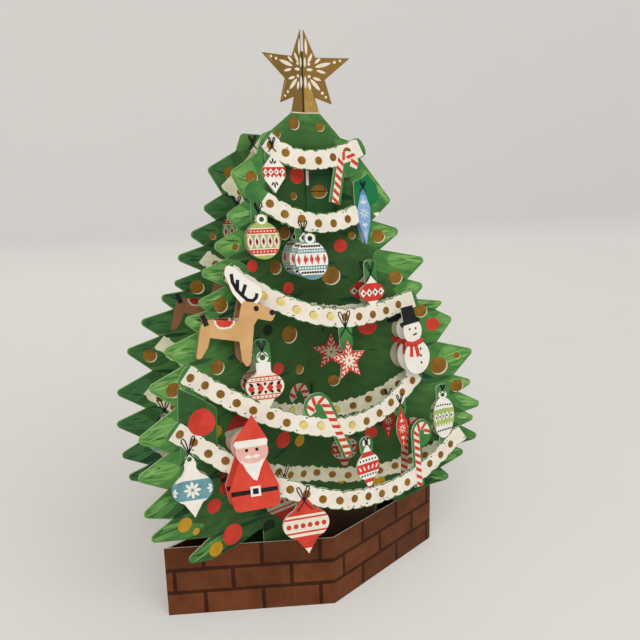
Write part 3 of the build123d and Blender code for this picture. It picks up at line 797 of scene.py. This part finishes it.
ink_tones = {
    "leaf_light": ((0.250, 0.450, 0.140), (0.180, 0.370, 0.100), 2.4),
    "leaf": ((0.165, 0.365, 0.095), (0.098, 0.265, 0.062), 2.4),
    "leaf_mid": ((0.088, 0.245, 0.058), (0.046, 0.165, 0.042), 2.4),
    "leaf_shaded": ((0.058, 0.170, 0.056), (0.036, 0.120, 0.044), 2.4),
    "leaf_deep": ((0.042, 0.118, 0.033), (0.027, 0.082, 0.023), 2.4),
    "leaf_dark": ((0.016, 0.066, 0.028), (0.010, 0.046, 0.020), 5),
    "web_green": ((0.012, 0.185, 0.062), (0.008, 0.150, 0.050), 9),
    "wool": ((0.80, 0.77, 0.58), (0.66, 0.63, 0.45), 5),
    "band_cream": ((0.84, 0.79, 0.70), (0.77, 0.71, 0.61), 6),
    "gold": ((0.31, 0.155, 0.026), (0.20, 0.095, 0.016), 4),
    # Painted highlight: the lighter gold for the star's foil.
    "star_highlight_gold": ((0.46, 0.30, 0.085), (0.34, 0.205, 0.050), 2),
    # Painted highlight: the pale gold for garland dots that catch the light.
    "dot_highlight_gold": ((0.82, 0.70, 0.26), (0.66, 0.50, 0.12), 3),
    "yellow": ((0.56, 0.32, 0.025), (0.46, 0.25, 0.018), 4),
    "rim": ((0.80, 0.74, 0.56), (0.64, 0.56, 0.36), 3),
    "red": ((0.640, 0.058, 0.036), (0.520, 0.040, 0.026), 5),
    "dark_red": ((0.300, 0.020, 0.018), (0.200, 0.014, 0.012), 3),
    "shade_red": ((0.400, 0.030, 0.022), (0.310, 0.022, 0.017), 5),
    "shade_white": ((0.46, 0.44, 0.31), (0.39, 0.375, 0.26), 5),
    "cream": ((0.82, 0.76, 0.64), (0.74, 0.67, 0.53), 5),
    "white": ((0.86, 0.83, 0.77), (0.79, 0.75, 0.68), 6),
    "black": ((0.022, 0.022, 0.024), (0.010, 0.010, 0.012), 3),
    "black_green": ((0.016, 0.032, 0.016), (0.008, 0.018, 0.009), 3),
    "lime": ((0.400, 0.510, 0.165), (0.320, 0.430, 0.120), 4),
    "olive": ((0.380, 0.440, 0.180), (0.300, 0.360, 0.130), 4),
    "teal": ((0.165, 0.345, 0.375), (0.115, 0.265, 0.300), 4),
    "sky": ((0.270, 0.450, 0.690), (0.190, 0.360, 0.600), 4),
    "pale_blue": ((0.520, 0.680, 0.820), (0.430, 0.600, 0.760), 4),
    "blue": ((0.150, 0.290, 0.520), (0.100, 0.220, 0.430), 4),
    "grey": ((0.300, 0.300, 0.290), (0.220, 0.220, 0.215), 3),
    "tan": ((0.640, 0.390, 0.170), (0.560, 0.325, 0.130), 8),
    "bark": ((0.056, 0.026, 0.015), (0.032, 0.015, 0.009), 5),
    # Painted shade: a darker tan, for reindeer hides printed behind the stuck-on figure.
    "shaded_tan": ((0.270, 0.130, 0.058), (0.200, 0.092, 0.042), 5),
    "pink": ((0.800, 0.480, 0.420), (0.740, 0.410, 0.360), 5),
    "coat_red": ((0.700, 0.076, 0.045), (0.610, 0.055, 0.034), 7),
}
ink_looks = {name: {"drag": 3} for name in ("leaf_light", "leaf", "leaf_mid", "leaf_shaded", "leaf_deep")}
ink_looks |= {name: {"roughness": 0.34, "metallic": 0.4} for name in ("gold", "star_highlight_gold")}
ink_looks |= {name: {"roughness": 0.4, "metallic": 0.2} for name in ("dot_highlight_gold", "yellow")}
tree_inks = {name: card_finish(name, *tones, **ink_looks.get(name, {})) for name, tones in ink_tones.items()}


def used(fields):
    """The inks that a sheet's fields call for."""
    return {ink: tree_inks[ink] for ink in tree_inks if any(field[1] == ink for field in fields)}


reindeer_shares = [
    (-0.288, 0.567), (-0.309, 0.553), (-0.375, 0.561), (-0.396, 0.548), (-0.427, 0.470),
    (-0.447, 0.459), (-0.468, 0.475), (-0.472, 0.516), (-0.607, 0.529), (-0.621, 0.510),
    (-0.657, 0.487), (-0.680, 0.487), (-0.652, 0.542), (-0.641, 0.557), (-0.604, 0.567),
    (-0.469, 0.558), (-0.444, 0.596), (-0.429, 0.602), (-0.351, 0.590), (-0.297, 0.577),
]
antler_ground_shares = [
    (-0.430, 0.585), (-0.482, 0.618), (-0.513, 0.660), (-0.500, 0.679), (-0.462, 0.672), (-0.405, 0.646),
    (-0.345, 0.628), (-0.343, 0.608), (-0.385, 0.585),
]
antler_shares = [
    ((-0.480, 0.659), (-0.478, 0.642), (-0.461, 0.625), (-0.441, 0.614), (-0.415, 0.602), (-0.389, 0.600),
     (-0.373, 0.606), (-0.367, 0.615)),
    ((-0.459, 0.624), (-0.453, 0.646)),
    ((-0.438, 0.613), (-0.418, 0.635)),
]
tail_shares = ((-0.617, 0.554), (-0.634, 0.578))
saddle_share = (-0.533, 0.563)
saddle_hem = [(0.93, -0.5), (0.55, -0.9), (-0.1, -1), (-0.65, -0.85), (-0.95, -0.4)]


def reindeer_fields(fields, layer, hide, with_antlers):
    """The reindeer: its hide, a saddle cloth with a pale border, eye, nose, tail and antlers."""
    if with_antlers:
        fields.append((rounded(places(antler_ground_shares), 2.4), "white", layer - 0.25))
        fields += [(ribbon(places(stroke), 1.25), "black", layer + 1) for stroke in antler_shares]
    fields += [(ribbon(places(tail_shares), 1.85), "black", layer + 0.25),
               (rounded(places(reindeer_shares), 1.2), hide, layer)]
    x, z = place(*saddle_share)
    # Painted shade: a reindeer printed in the darker hide gets a dark red cloth too.
    cloth = "red" if hide == "tan" else "dark_red"
    for width, height, ink, level in ((3.7, 3.2, "cream", 0.5), (3.0, 2.5, cloth, 1)):
        back = [(x - width, z + 0.25), (x + width, z - 0.35)]
        fields.append((back + moved(saddle_hem, x, z, width, height), ink, layer + level))
    fields += [(oval(*place(-0.378, 0.583), 0.95, 1.0, 14), "black", layer + 1),
               (oval(*place(-0.303, 0.572), 1.05, 1.05, 14), "black", layer + 1)]


santa_hat_shares = [(-0.449, 0.358), (-0.553, 0.300), (-0.382, 0.300)]
santa_head_share = (-0.466, 0.282, 0.160)
santa_coat_shares = [
    (-0.525, 0.268), (-0.405, 0.266), (-0.350, 0.200), (-0.353, 0.155), (-0.573, 0.153), (-0.589, 0.200)
]
beard = [(-4.1, -3.4), (4.4, -3.4), (2.6, -6.8), (0.9, -11.0), (-0.4, -10.4), (-2.6, -7.0)]
belt = [(-8.8, -0.95), (8.1, -0.75), (8.0, 0.8), (-8.9, 0.75)]
brim = [(-5.6, 1.3), (5.6, 1.5), (6.0, 3.1), (5.5, 4.0), (-5.6, 3.9), (-6.3, 3.1)]
buckle = [(-1, -1), (1, -1), (1, 1), (-1, 1)]


def santa_fields(fields, layer, with_hat):
    """The bearded figure: coat, belt and buckle, pointed beard, face, and a hat with a fur brim."""
    x, z = place(*santa_head_share[:2])
    radius = santa_head_share[2] * tree_half_span / 2 - 0.12
    waist = place(0, 0.194)[1]
    fields += [
        (rounded(places(santa_coat_shares), 2.4), "coat_red", layer),
        (oval(x, z, radius, radius, 26), "pink", layer + 0.5),
        (moved(beard, x, z), "white", layer + 0.75),
        (oval(x, z, 5.6, 4.6, 28), "pink", layer + 1),
        (moved(belt, x, waist), "black", layer + 1),
        (moved(buckle, x, waist, 1.85, 1.85), "white", layer + 1.5),
        (moved(buckle, x, waist, 1.05, 1.05), "black", layer + 2),
    ]
    for side in (-1, 1):
        fields += [(lens((x + side * 0.1, z - 2.2), (x + side * 2.7, z - 2.0), 1.3), "white", layer + 1.5),
                   (oval(x + side * 1.85, z + 0.3, 0.62, 0.66, 12), "black", layer + 1.5)]
    if with_hat:
        fields += [(rounded(places(santa_hat_shares), 0.4), "coat_red", layer + 1.5),
                   (rounded(moved(brim, x, z), 0.6), "white", layer + 2)]


snowman_place_share = (0.522, 0.424)
figure_size = 10.0
snowman_hat_shares = [(-0.675, 2.08), (-0.045, 2.13), (0.08, 1.65), (0.27, 1.55), (0.255, 1.43),
                      (-0.765, 1.34), (-0.78, 1.48), (-0.59, 1.51)]
snowman_round_shares = [(0, 0, 1.34), (-0.13, 1.09, 0.96)]
scarf = [(-0.56, 0.74), (-0.14, 0.66), (0.32, 0.76), (0.33, 0.56), (-0.12, 0.46), (-0.58, 0.56)]
scarf_ends = [[(-0.34, 0.55), (-0.18, 0.55), (-0.22, 0.05), (-0.40, 0.08)],
              [(-0.14, 0.55), (0.04, 0.57), (0.16, 0.06), (-0.03, 0.0)]]
snowman_mouth = [(0.10, 0.97), (-0.16, 0.92)]


def snowman_fields(fields, layer, with_hat):
    """The snowman: two white rounds, scarf, buttons, eyes, nose and a tall hat."""
    def set_out(shares):
        return moved(shares, *place(*snowman_place_share), figure_size, figure_size)

    for across_share, up_share, wide_share in snowman_round_shares:
        radius = wide_share * figure_size / 2 - 0.12
        fields.append((oval(*set_out([(across_share, up_share)])[0], radius, radius, 28), "white", layer))
    for x, z in set_out([(-0.29, 1.18), (0.03, 1.18)]):
        fields.append((oval(x, z, 0.45, 0.5, 10), "black", layer + 1))
    fields.append((lens(*set_out(snowman_mouth), 0.75), "black", layer + 1))
    for x, z in set_out([(0.20, 0.32), (0.20, 0.04), (0.20, -0.24)]):
        fields.append((oval(x, z, 0.5, 0.55, 10), "black", layer + 1))
    fields.append((smooth(set_out(scarf)), "red", layer + 1.5))
    fields += [(set_out(end), "red", layer + 1.5) for end in scarf_ends]
    if with_hat:
        fields.append((set_out(snowman_hat_shares), "black", layer + 2))


def tree_outline(rise, with_neck):
    """The cut edge of a tree sheet's crown, without the neck and star."""
    points = [point[:2] for point in branch_points(left_branch_shares, -1, rise)]
    points += [point[:2] for point in reversed(branch_points(right_branch_shares, 1, rise))]
    if with_neck:
        points += [(neck_half_width, neck_height), (-neck_half_width, neck_height)]
    else:
        points = points[1:-1]
    return rounded(points, branch_round)


shaded_inks = {"red": "shade_red", "coat_red": "shade_red", "white": "shade_white", "cream": "shade_white",
               "lime": "leaf_mid", "olive": "leaf_mid"}
band_copy_layer = 6
copy_layer = 8
bow_copy_layer = 12


def tree_print(rise, with_neck, tones):
    """All that is printed on one face of a tree sheet."""
    rng = random.Random(7)
    keeps = keeper(tree_outline(rise, with_neck))
    leaves = []
    branch_fields(leaves, rng, rise, tones)
    over = []
    dot_fields(over)
    for number in range(len(garland_shares)):
        printed_garland(over, number, keeper(tree_outline(0, with_neck), 0.8), rng, band_copy_layer)
    copies = []
    for row in canes:
        cane_fields(copies, row, copy_layer)
    for row in ornaments:
        ornament_fields(copies, row, copy_layer)
    hanging_star_fields(copies, copy_layer)
    # The reindeer copy in the darker hide and cloth is painted shade.
    reindeer_fields(copies, copy_layer, "shaded_tan", False)
    santa_fields(copies, copy_layer, True)
    snowman_fields(copies, copy_layer, True)
    over += [(outline, shaded_inks.get(ink, ink), layer) for outline, ink, layer in copies]
    bow_fields(over, bow_copy_layer)
    over = [([(x, z + rise) for x, z in outline], ink, layer) for outline, ink, layer in over]
    return drawn_in(leaves + over, keeps)


middle_fold = [((0, 0, 0), (1, 0, 0))]


def tree_face(sheet, side):
    """One face of a tree sheet: sheet -1 is the front one, side -1 the face towards the viewer."""
    def surface(x, z, lift):
        return (x, sheet * (fold_depth + wing_slope * abs(x)) + side * (wing_card / 2 + lift), z)
    return surface


trunk = [(-12, 18), (-11, 33), (-7, 37.5), (0, 39.5), (9, 40.5), (20, 40), (25.6, 38), (25.6, 18)]
fringe = [(5, 43), (27, 42.5), (25.5, 36.5), (19, 33), (12.5, 34), (8.5, 37.5)]
# Painted shade: a dark patch under the front sheet's lowest branch on the right.
under_branch_shade = [(38.6, 35.8), (44, 38.4), (50, 41), (51.5, 43), (46, 42.8), (40, 39.8)]
pale_sliver = [(24.6, 166.6), (28.3, 159.4), (27.2, 158.2), (24.4, 161.6)]
trunk_fields = [(trunk, "bark", 0.75), (smooth(fringe), "leaf_deep", 1)]
front_fields = trunk_fields + tree_print(0, True, leaf_tones[-1])
front_fields += drawn_in([(under_branch_shade, "leaf_dark", 3.75)], keeper(tree_outline(0, True)))
front_fields.append((pale_sliver, "white", 13))
back_fields = trunk_fields + tree_print(back_rise, False, leaf_tones[1])
for name, sheet, side, fields in (("front_tree_print", -1, -1, front_fields),
                                  ("front_tree_inner_print", -1, 1, front_fields),
                                  ("back_tree_inner_print", 1, -1, back_fields),
                                  ("back_tree_print", 1, 1, back_fields)):
    print_on(name, fields, used(fields), middle_fold, tree_face(sheet, side))


# Star: foil-blocked on the top of the front sheet, with petals and dots left pale.
# Each arm has a long petal along it, two short ones beside it and dots towards the tip, and three
# arms carry painted highlights in lighter foil along their left edges. The neck below is foil too,
# with a painted highlight over its right half and painted shade down its fold, and a pale line ends it.
star_centre = Vector((0.0, 213.4))
star_half_width = 17.6
star_foot = 201.2
star_height = 27.9
star_arms = [(-star_half_width, 217.8), (star_half_width, 217.8), (-10.56, star_foot), (10.56, star_foot)]
star_shares = [(0, 1.0), (0.27, 0.60), (1.0, 0.595), (0.46, 0.315), (0.60, 0), (0, 0.15)]
star_half = [(star_half_width * across, star_foot + star_height * up) for across, up in star_shares]
star_keeps = keeper(star_half + [(-x, z) for x, z in reversed(star_half[1:-1])], 0.25)
neck_fields = [
    # Painted highlight: lighter foil over the neck's right half.
    ([(0.4, 198.4), (5.3, 198.4), (2.5, 208.6), (0.4, 208.6)], "star_highlight_gold", 1),
    ([(-5.6, 197.85), (5.6, 197.85), (5.5, 198.25), (-5.5, 198.25)], "rim", 2),
    # Painted shade: a dark line down the neck's fold, where its two halves meet.
    ([(-0.5, 198.4), (0.1, 198.4), (0.1, 219.8), (-0.5, 219.8)], "black_green", 2),
]
star_fields = [
    # Painted highlights: lighter foil streaks along the left edges of three arms.
    ([(-17.0, 217.5), (-13.4, 217.5), (-14.4, 216.6), (-13.0, 214.6), (-13.9, 215.2)], "star_highlight_gold", 1),
    ([(-8.0, 209.4), (-7.6, 209.4), (-9.5, 202.4), (-10.2, 201.7)], "star_highlight_gold", 1),
    ([(-4.4, 217.4), (-4.0, 217.4), (-1.3, 226.0), (-1.0, 226.6)], "star_highlight_gold", 1),
]
arm_fan = [(0, 0.26, 0.59, 1.45), (0.30, 0.28, 0.47, 1.05), (-0.30, 0.28, 0.47, 1.05)]
inner_petals = [((1.5, 5.4), (1.3, 11.2), 1.0), ((2.0, 2.6), (3.6, 6.0), 1.1), ((1.3, 0.2), (3.7, 0.2), 1.1),
                ((0.85, -2.0), (0.85, -6.4), 0.9), ((0.85, 1.0), (0.85, 4.6), 0.8)]
for tip in star_arms:
    arm = Vector(tip) - star_centre
    turn = atan2(arm.y, arm.x)
    for swing, near, far, width in arm_fan:
        ends = [Vector((cos(turn + bend * swing), sin(turn + bend * swing))) * share * arm.length
                for bend, share in ((0.8, near), (1.2, far))]
        star_fields.append((lens(star_centre + ends[0], star_centre + ends[1], width), "cream", 3))
    for along, radius in ((0.67, 0.55), (0.79, 0.46)):
        spot = star_centre + arm * along
        star_fields.append((oval(spot.x, spot.y, radius, radius, 12), "cream", 3))
for side in (-1, 1):
    for start, stop, width in inner_petals:
        star_fields.append((lens(*moved((start, stop), *star_centre, side), width), "cream", 3))
    for x, z in moved(((2.3, -2.2), (2.3, 2.2)), *star_centre, side):
        star_fields.append((oval(x, z, 0.55, 0.55, 12), "cream", 3))
star_fields = neck_fields + drawn_in(star_fields, star_keeps)
print_on("star_petals", star_fields, used(star_fields), middle_fold, tree_face(-1, -1))


# Struts: small plates of the same card that hold the two tree sheets apart at the fold.
# The upper one turns over in front as a glue flap, printed to match the foliage behind it, and
# the bare card shows where it folds.
strut_card = card_finish("strut_card", (0.032, 0.105, 0.036), (0.020, 0.072, 0.026), patch=6)
dress("upper_strut", strut_card)
dress("lower_strut", strut_card)
flap_fields = [
    (oval(4.6, 168.8, 3.0, 2.5, 24), "gold", 2),
    (oval(4.8, 168.5, 3.0, 2.5, 24), "rim", 1.5),
    ([(1.4, 168.6), (8.0, 168.6), (8.0, 168.95), (1.4, 168.95)], "black_green", 2.5),
    ([(0.5, 175.0), (10.4, 174.6), (10.4, 175.0), (0.5, 175.4)], "leaf_dark", 1),
    ([(-0.2, 171.2), (0.85, 171.2), (0.85, 176.7), (-0.2, 176.7)], "white", 3),
    ([(0.9, 173.2), (1.7, 173.6), (1.7, 176.4), (0.9, 176.6)], "dark_red", 1),
]


def strut_flap(x, z, lift):
    """The front face of the upper strut's glue flap."""
    return (x, -(fold_depth + wing_slope * max(x, 0)) - 1.5 * wing_card - lift, z)


print_on("strut_flap_print", flap_fields, used(flap_fields), middle_fold, strut_flap)


# Garlands: strips of card cut in one with their hanging ornaments, folded the other way.
# They lean out from the tree and are glued to its front wings at both ends. The ground is painted
# green, which shows round the ornaments, and the garlands are cream with foil dots.
garland_names = ["top_garland", "upper_garland", "middle_garland", "lower_garland", "bottom_garland"]
garland_neck_depth = 10.9
garland_rim_depth = 37.6
garland_lean = (garland_rim_depth - garland_neck_depth) / crown_height
garland_slope = 0.16
garland_card = card * sqrt(1 + garland_slope ** 2 + garland_lean ** 2)
scallop_pitch = 5.0
scallop_rise = 0.55
garland_ground = card_finish("garland_ground", (0.075, 0.235, 0.062), (0.036, 0.150, 0.042), patch=6)
cut_edge(garland_ground, "Y", -0.1, 0.6, (0.74, 0.71, 0.62))


def garland_face(depth):
    """The front face of the garlands' facets, or of a layer that lies this far in front of it."""
    def surface(x, z, lift):
        facet = (-garland_neck_depth - garland_lean * (neck_height - z) + garland_slope * abs(x)
                 - garland_card / 2 - depth - lift)
        strip = -fold_depth - wing_slope * abs(x) - 1.5 * wing_card - lift
        return (x, min(facet, strip), z)
    return surface


glue_offset = garland_neck_depth + garland_card / 2 - fold_depth - 1.5 * wing_card
glue_run = wing_slope + garland_slope
glue_point_z = neck_height + glue_offset / garland_lean
garland_folds = middle_fold + [((0, 0, glue_point_z), (side * glue_run, 0, garland_lean)) for side in (-1, 1)]
cream_spans = [(-0.244, 0.289), (-0.275, 0.258), (-0.487, 0.573), (-0.743, 0.573), (-0.820, 0.867)]
web_shares = {
    1: [(0.233, 0.765), (0.237, 0.845), (0.287, 0.855), (0.313, 0.864), (0.360, 0.840), (0.380, 0.800)],
    2: [(-0.441, 0.590), (-0.441, 0.645), (-0.285, 0.598), (-0.285, 0.572), (-0.360, 0.583)],
    4: [(-0.793, 0.322), (-0.780, 0.432), (-0.693, 0.406), (-0.613, 0.379), (-0.593, 0.371), (-0.607, 0.277)],
}
web_inks = {1: "web_green", 2: "band_cream", 4: "leaf_deep"}


def cream_band(fields, number, rng):
    """The cream of a garland, which stops raggedly short of its scalloped edge, with flecks along it."""
    start = place(*garland_shares[number][0])[0]
    length = place(*garland_shares[number][2])[0] - start
    count = round(length / scallop_pitch)
    left, right = [share * tree_half_span for share in cream_spans[number]]
    edges = ([], [])
    for way, edge in zip((1, -1), edges):
        for i in range(count * 6 + 1):
            x = start + length * i / (count * 6)
            if not left + 0.2 <= x <= right - 0.2:
                continue
            middle, normal = garland_frame(number, x)
            bulge = scallop_rise * (0, 0.7, 1, 1, 1, 0.7)[i % 6]
            edge.append(middle + normal * way * (garland_width / 2 + bulge - rng.uniform(0.12, 0.5)))
            if rng.random() < 0.09:
                fleck = middle + normal * way * (garland_width / 2 - rng.uniform(0.3, 1.0))
                run = Vector((rng.uniform(0.5, 1.3), rng.uniform(-0.3, 0.3)))
                fields.append((lens(fleck, fleck + run, rng.uniform(0.3, 0.6)), "leaf_deep", 1.5))
    fields.append((edges[0] + edges[1][::-1], "band_cream", 1))
    garland_dots(fields, number, left, right, 2)


red_disc = oval(-50.4, 87.9, 5.0, 5.0, 30)
hung_layer = 4
bow_layer = 8
rng = random.Random(31)
for number, name in enumerate(garland_names):
    dress(name, garland_ground)
    fields = []
    if number in web_shares:
        web = [Vector(pair) for pair in places(web_shares[number])]
        heart = sum(web, Vector((0, 0))) / len(web)
        inset = 0.0 if name == "middle_garland" else 0.05
        fields.append(([p.lerp(heart, inset) for p in web], web_inks[number], 0.5))
    if name == "bottom_garland":
        fields.append((red_disc, "red", 1.5))
    if name == "lower_garland":
        tie = moved(((-2.9, -8.5), (2.9, -8.5), (2.9, 0), (-2.9, 0)), *place(*snowman_place_share))
        fields.append((tie, "band_cream", 0.5))
    cream_band(fields, number, rng)
    for row in canes:
        if row[0] == number:
            cane_fields(fields, row, hung_layer)
    for row in ornaments:
        if row[2] == number:
            ornament_fields(fields, row, hung_layer)
    if name == "middle_garland":
        hanging_star_fields(fields, hung_layer)
        # The garland's reindeer is in the darker hide and cloth: painted shade behind the stuck-on figure.
        reindeer_fields(fields, hung_layer, "shaded_tan", False)
    if name == "lower_garland":
        snowman_fields(fields, hung_layer, False)
    if name == "bottom_garland":
        santa_fields(fields, hung_layer, False)
    bow_fields(fields, bow_layer, number)
    print_on(f"{name}_print", fields, used(fields), garland_folds, garland_face(0))


# Figures: a reindeer, a bearded figure in a red coat, a snowman and two baubles, each a second
# layer of printed card stuck on a pad in front of the garland, with its ink carried over the cut edge.
pad_paper = card_finish("pad_paper", (0.78, 0.75, 0.69), (0.71, 0.67, 0.60), patch=7)
deep_pad = 5.0
thin_pad = 2.2
figures = {
    "reindeer": (deep_pad, "tan"), "father_christmas": (deep_pad, "coat_red"),
    "snowman": (deep_pad, "white"), "round_bauble": (deep_pad, "grey"), "striped_bauble": (thin_pad, "olive"),
}
for name, (depth, ground) in figures.items():
    dress(name, tree_inks[ground])
    dress(f"{name}_pad", pad_paper)
    fields = []
    if name == "reindeer":
        reindeer_fields(fields, 1, "tan", True)
    elif name == "father_christmas":
        santa_fields(fields, 1, True)
    elif name == "snowman":
        snowman_fields(fields, 1, True)
    else:
        ornament_fields(fields, [row for row in ornaments if row[0] == name][0], 1)
    face = garland_face(depth + garland_card)
    print_on(f"{name}_print", fields, used(fields), middle_fold, face)


# Floor, backdrop, lamps and camera: a plain pale studio, seen from the photograph's side.
# The floor is one sheet that curves up into the backdrop; its colour grows paler away from the card,
# painted light that brightens the floor where the lamps reach less.
floor_half_width = 14.0
floor_front = -14.0
floor_back = 2.6
backdrop_height = 5.0
bpy.ops.object.select_all(action="DESELECT")
bpy.ops.mesh.primitive_plane_add(size=2.0)
floor = bpy.context.object
floor.name = "floor"
bpy.ops.object.mode_set(mode="EDIT")
ground = bmesh.from_edit_mesh(floor.data)
for corner in ground.verts:
    corner.co = (floor_half_width * corner.co.x, floor_back if corner.co.y > 0 else floor_front, 0)
bpy.ops.mesh.select_all(action="DESELECT")
for side in ground.edges:
    side.select = all(corner.co.y > 0 for corner in side.verts)
bpy.ops.mesh.extrude_region_move(TRANSFORM_OT_translate={"value": (0, 0, backdrop_height)})
bpy.ops.mesh.select_all(action="DESELECT")
for side in ground.edges:
    side.select = all(corner.co.y > 0 and corner.co.z < 1 for corner in side.verts)
bpy.ops.mesh.bevel(offset=1.6, segments=20, affect="EDGES")
bpy.ops.mesh.select_all(action="SELECT")
bpy.ops.mesh.normals_make_consistent(inside=True)
bpy.ops.object.mode_set(mode="OBJECT")
bpy.ops.object.shade_smooth()
paper = card_finish("floor_pale", (0.74, 0.72, 0.695), (0.725, 0.705, 0.68), patch=300, roughness=0.8)
# Painted light: the floor's colour blends paler with distance from the card.
spot = paper.node_tree.nodes["Texture Coordinate"].outputs["Object"]
away = shader_node(paper, "VectorMath", {0: spot}, operation="LENGTH")
behind = shader_node(paper, "MapRange", {"Value": away.outputs["Value"], "From Min": 0.1, "From Max": 2.0})
blend(paper, behind.outputs["Result"], (0.97, 0.955, 0.93))
floor.data.materials.append(paper)

sky_strength = 0.72
world = bpy.data.worlds.new("studio")
world.use_nodes = True
sky = world.node_tree.nodes["Background"]
sky.inputs["Color"].default_value = (1.0, 0.985, 0.96, 1)
sky.inputs["Strength"].default_value = sky_strength
bpy.context.scene.world = world


def lamp(name, place_m, aim_m, size, power, colour):
    """A soft square lamp, aimed at the card."""
    light = bpy.data.lights.new(name, "AREA")
    light.size = size
    light.energy = power
    light.color = colour
    holder = bpy.data.objects.new(name, light)
    bpy.context.scene.collection.objects.link(holder)
    holder.location = place_m
    holder.rotation_euler = (Vector(aim_m) - Vector(place_m)).to_track_quat("-Z", "Y").to_euler()


lamp_aim = (0, 0, 0.1)
lamp("key_lamp", (-0.55, -1.0, 1.1), lamp_aim, 0.8, 7, (1.0, 0.97, 0.92))
lamp("fill_lamp", (0.25, -1.1, 0.9), lamp_aim, 0.9, 2, (0.97, 0.98, 1.0))
lamp("back_lamp", (0.3, 0.9, 1.1), lamp_aim, 0.8, 2, (1.0, 0.97, 0.93))

camera_yaw = radians(24.8)
camera_pitch = radians(11.4)
camera_roll = radians(1.5)
focal_px = 628.0
picture_px = 640.0
sensor_width = 36.0
camera_place = (-0.101, -0.235, 0.168)
ahead = Vector((sin(camera_yaw) * cos(camera_pitch), cos(camera_yaw) * cos(camera_pitch), -sin(camera_pitch)))
level = Vector((cos(camera_yaw), -sin(camera_yaw), 0))
down = ahead.cross(level)
right = level * cos(camera_roll) + down * sin(camera_roll)
up = level * sin(camera_roll) - down * cos(camera_roll)
lens_data = bpy.data.cameras.new("camera")
lens_data.sensor_width = sensor_width
lens_data.lens = sensor_width * focal_px / picture_px
camera = bpy.data.objects.new("camera", lens_data)
bpy.context.scene.collection.objects.link(camera)
turn = Matrix((right, up, -ahead)).transposed()
camera.matrix_world = Matrix.Translation(camera_place) @ turn.to_4x4()
bpy.context.scene.camera = camera
bpy.context.scene.view_settings.view_transform = "Standard"
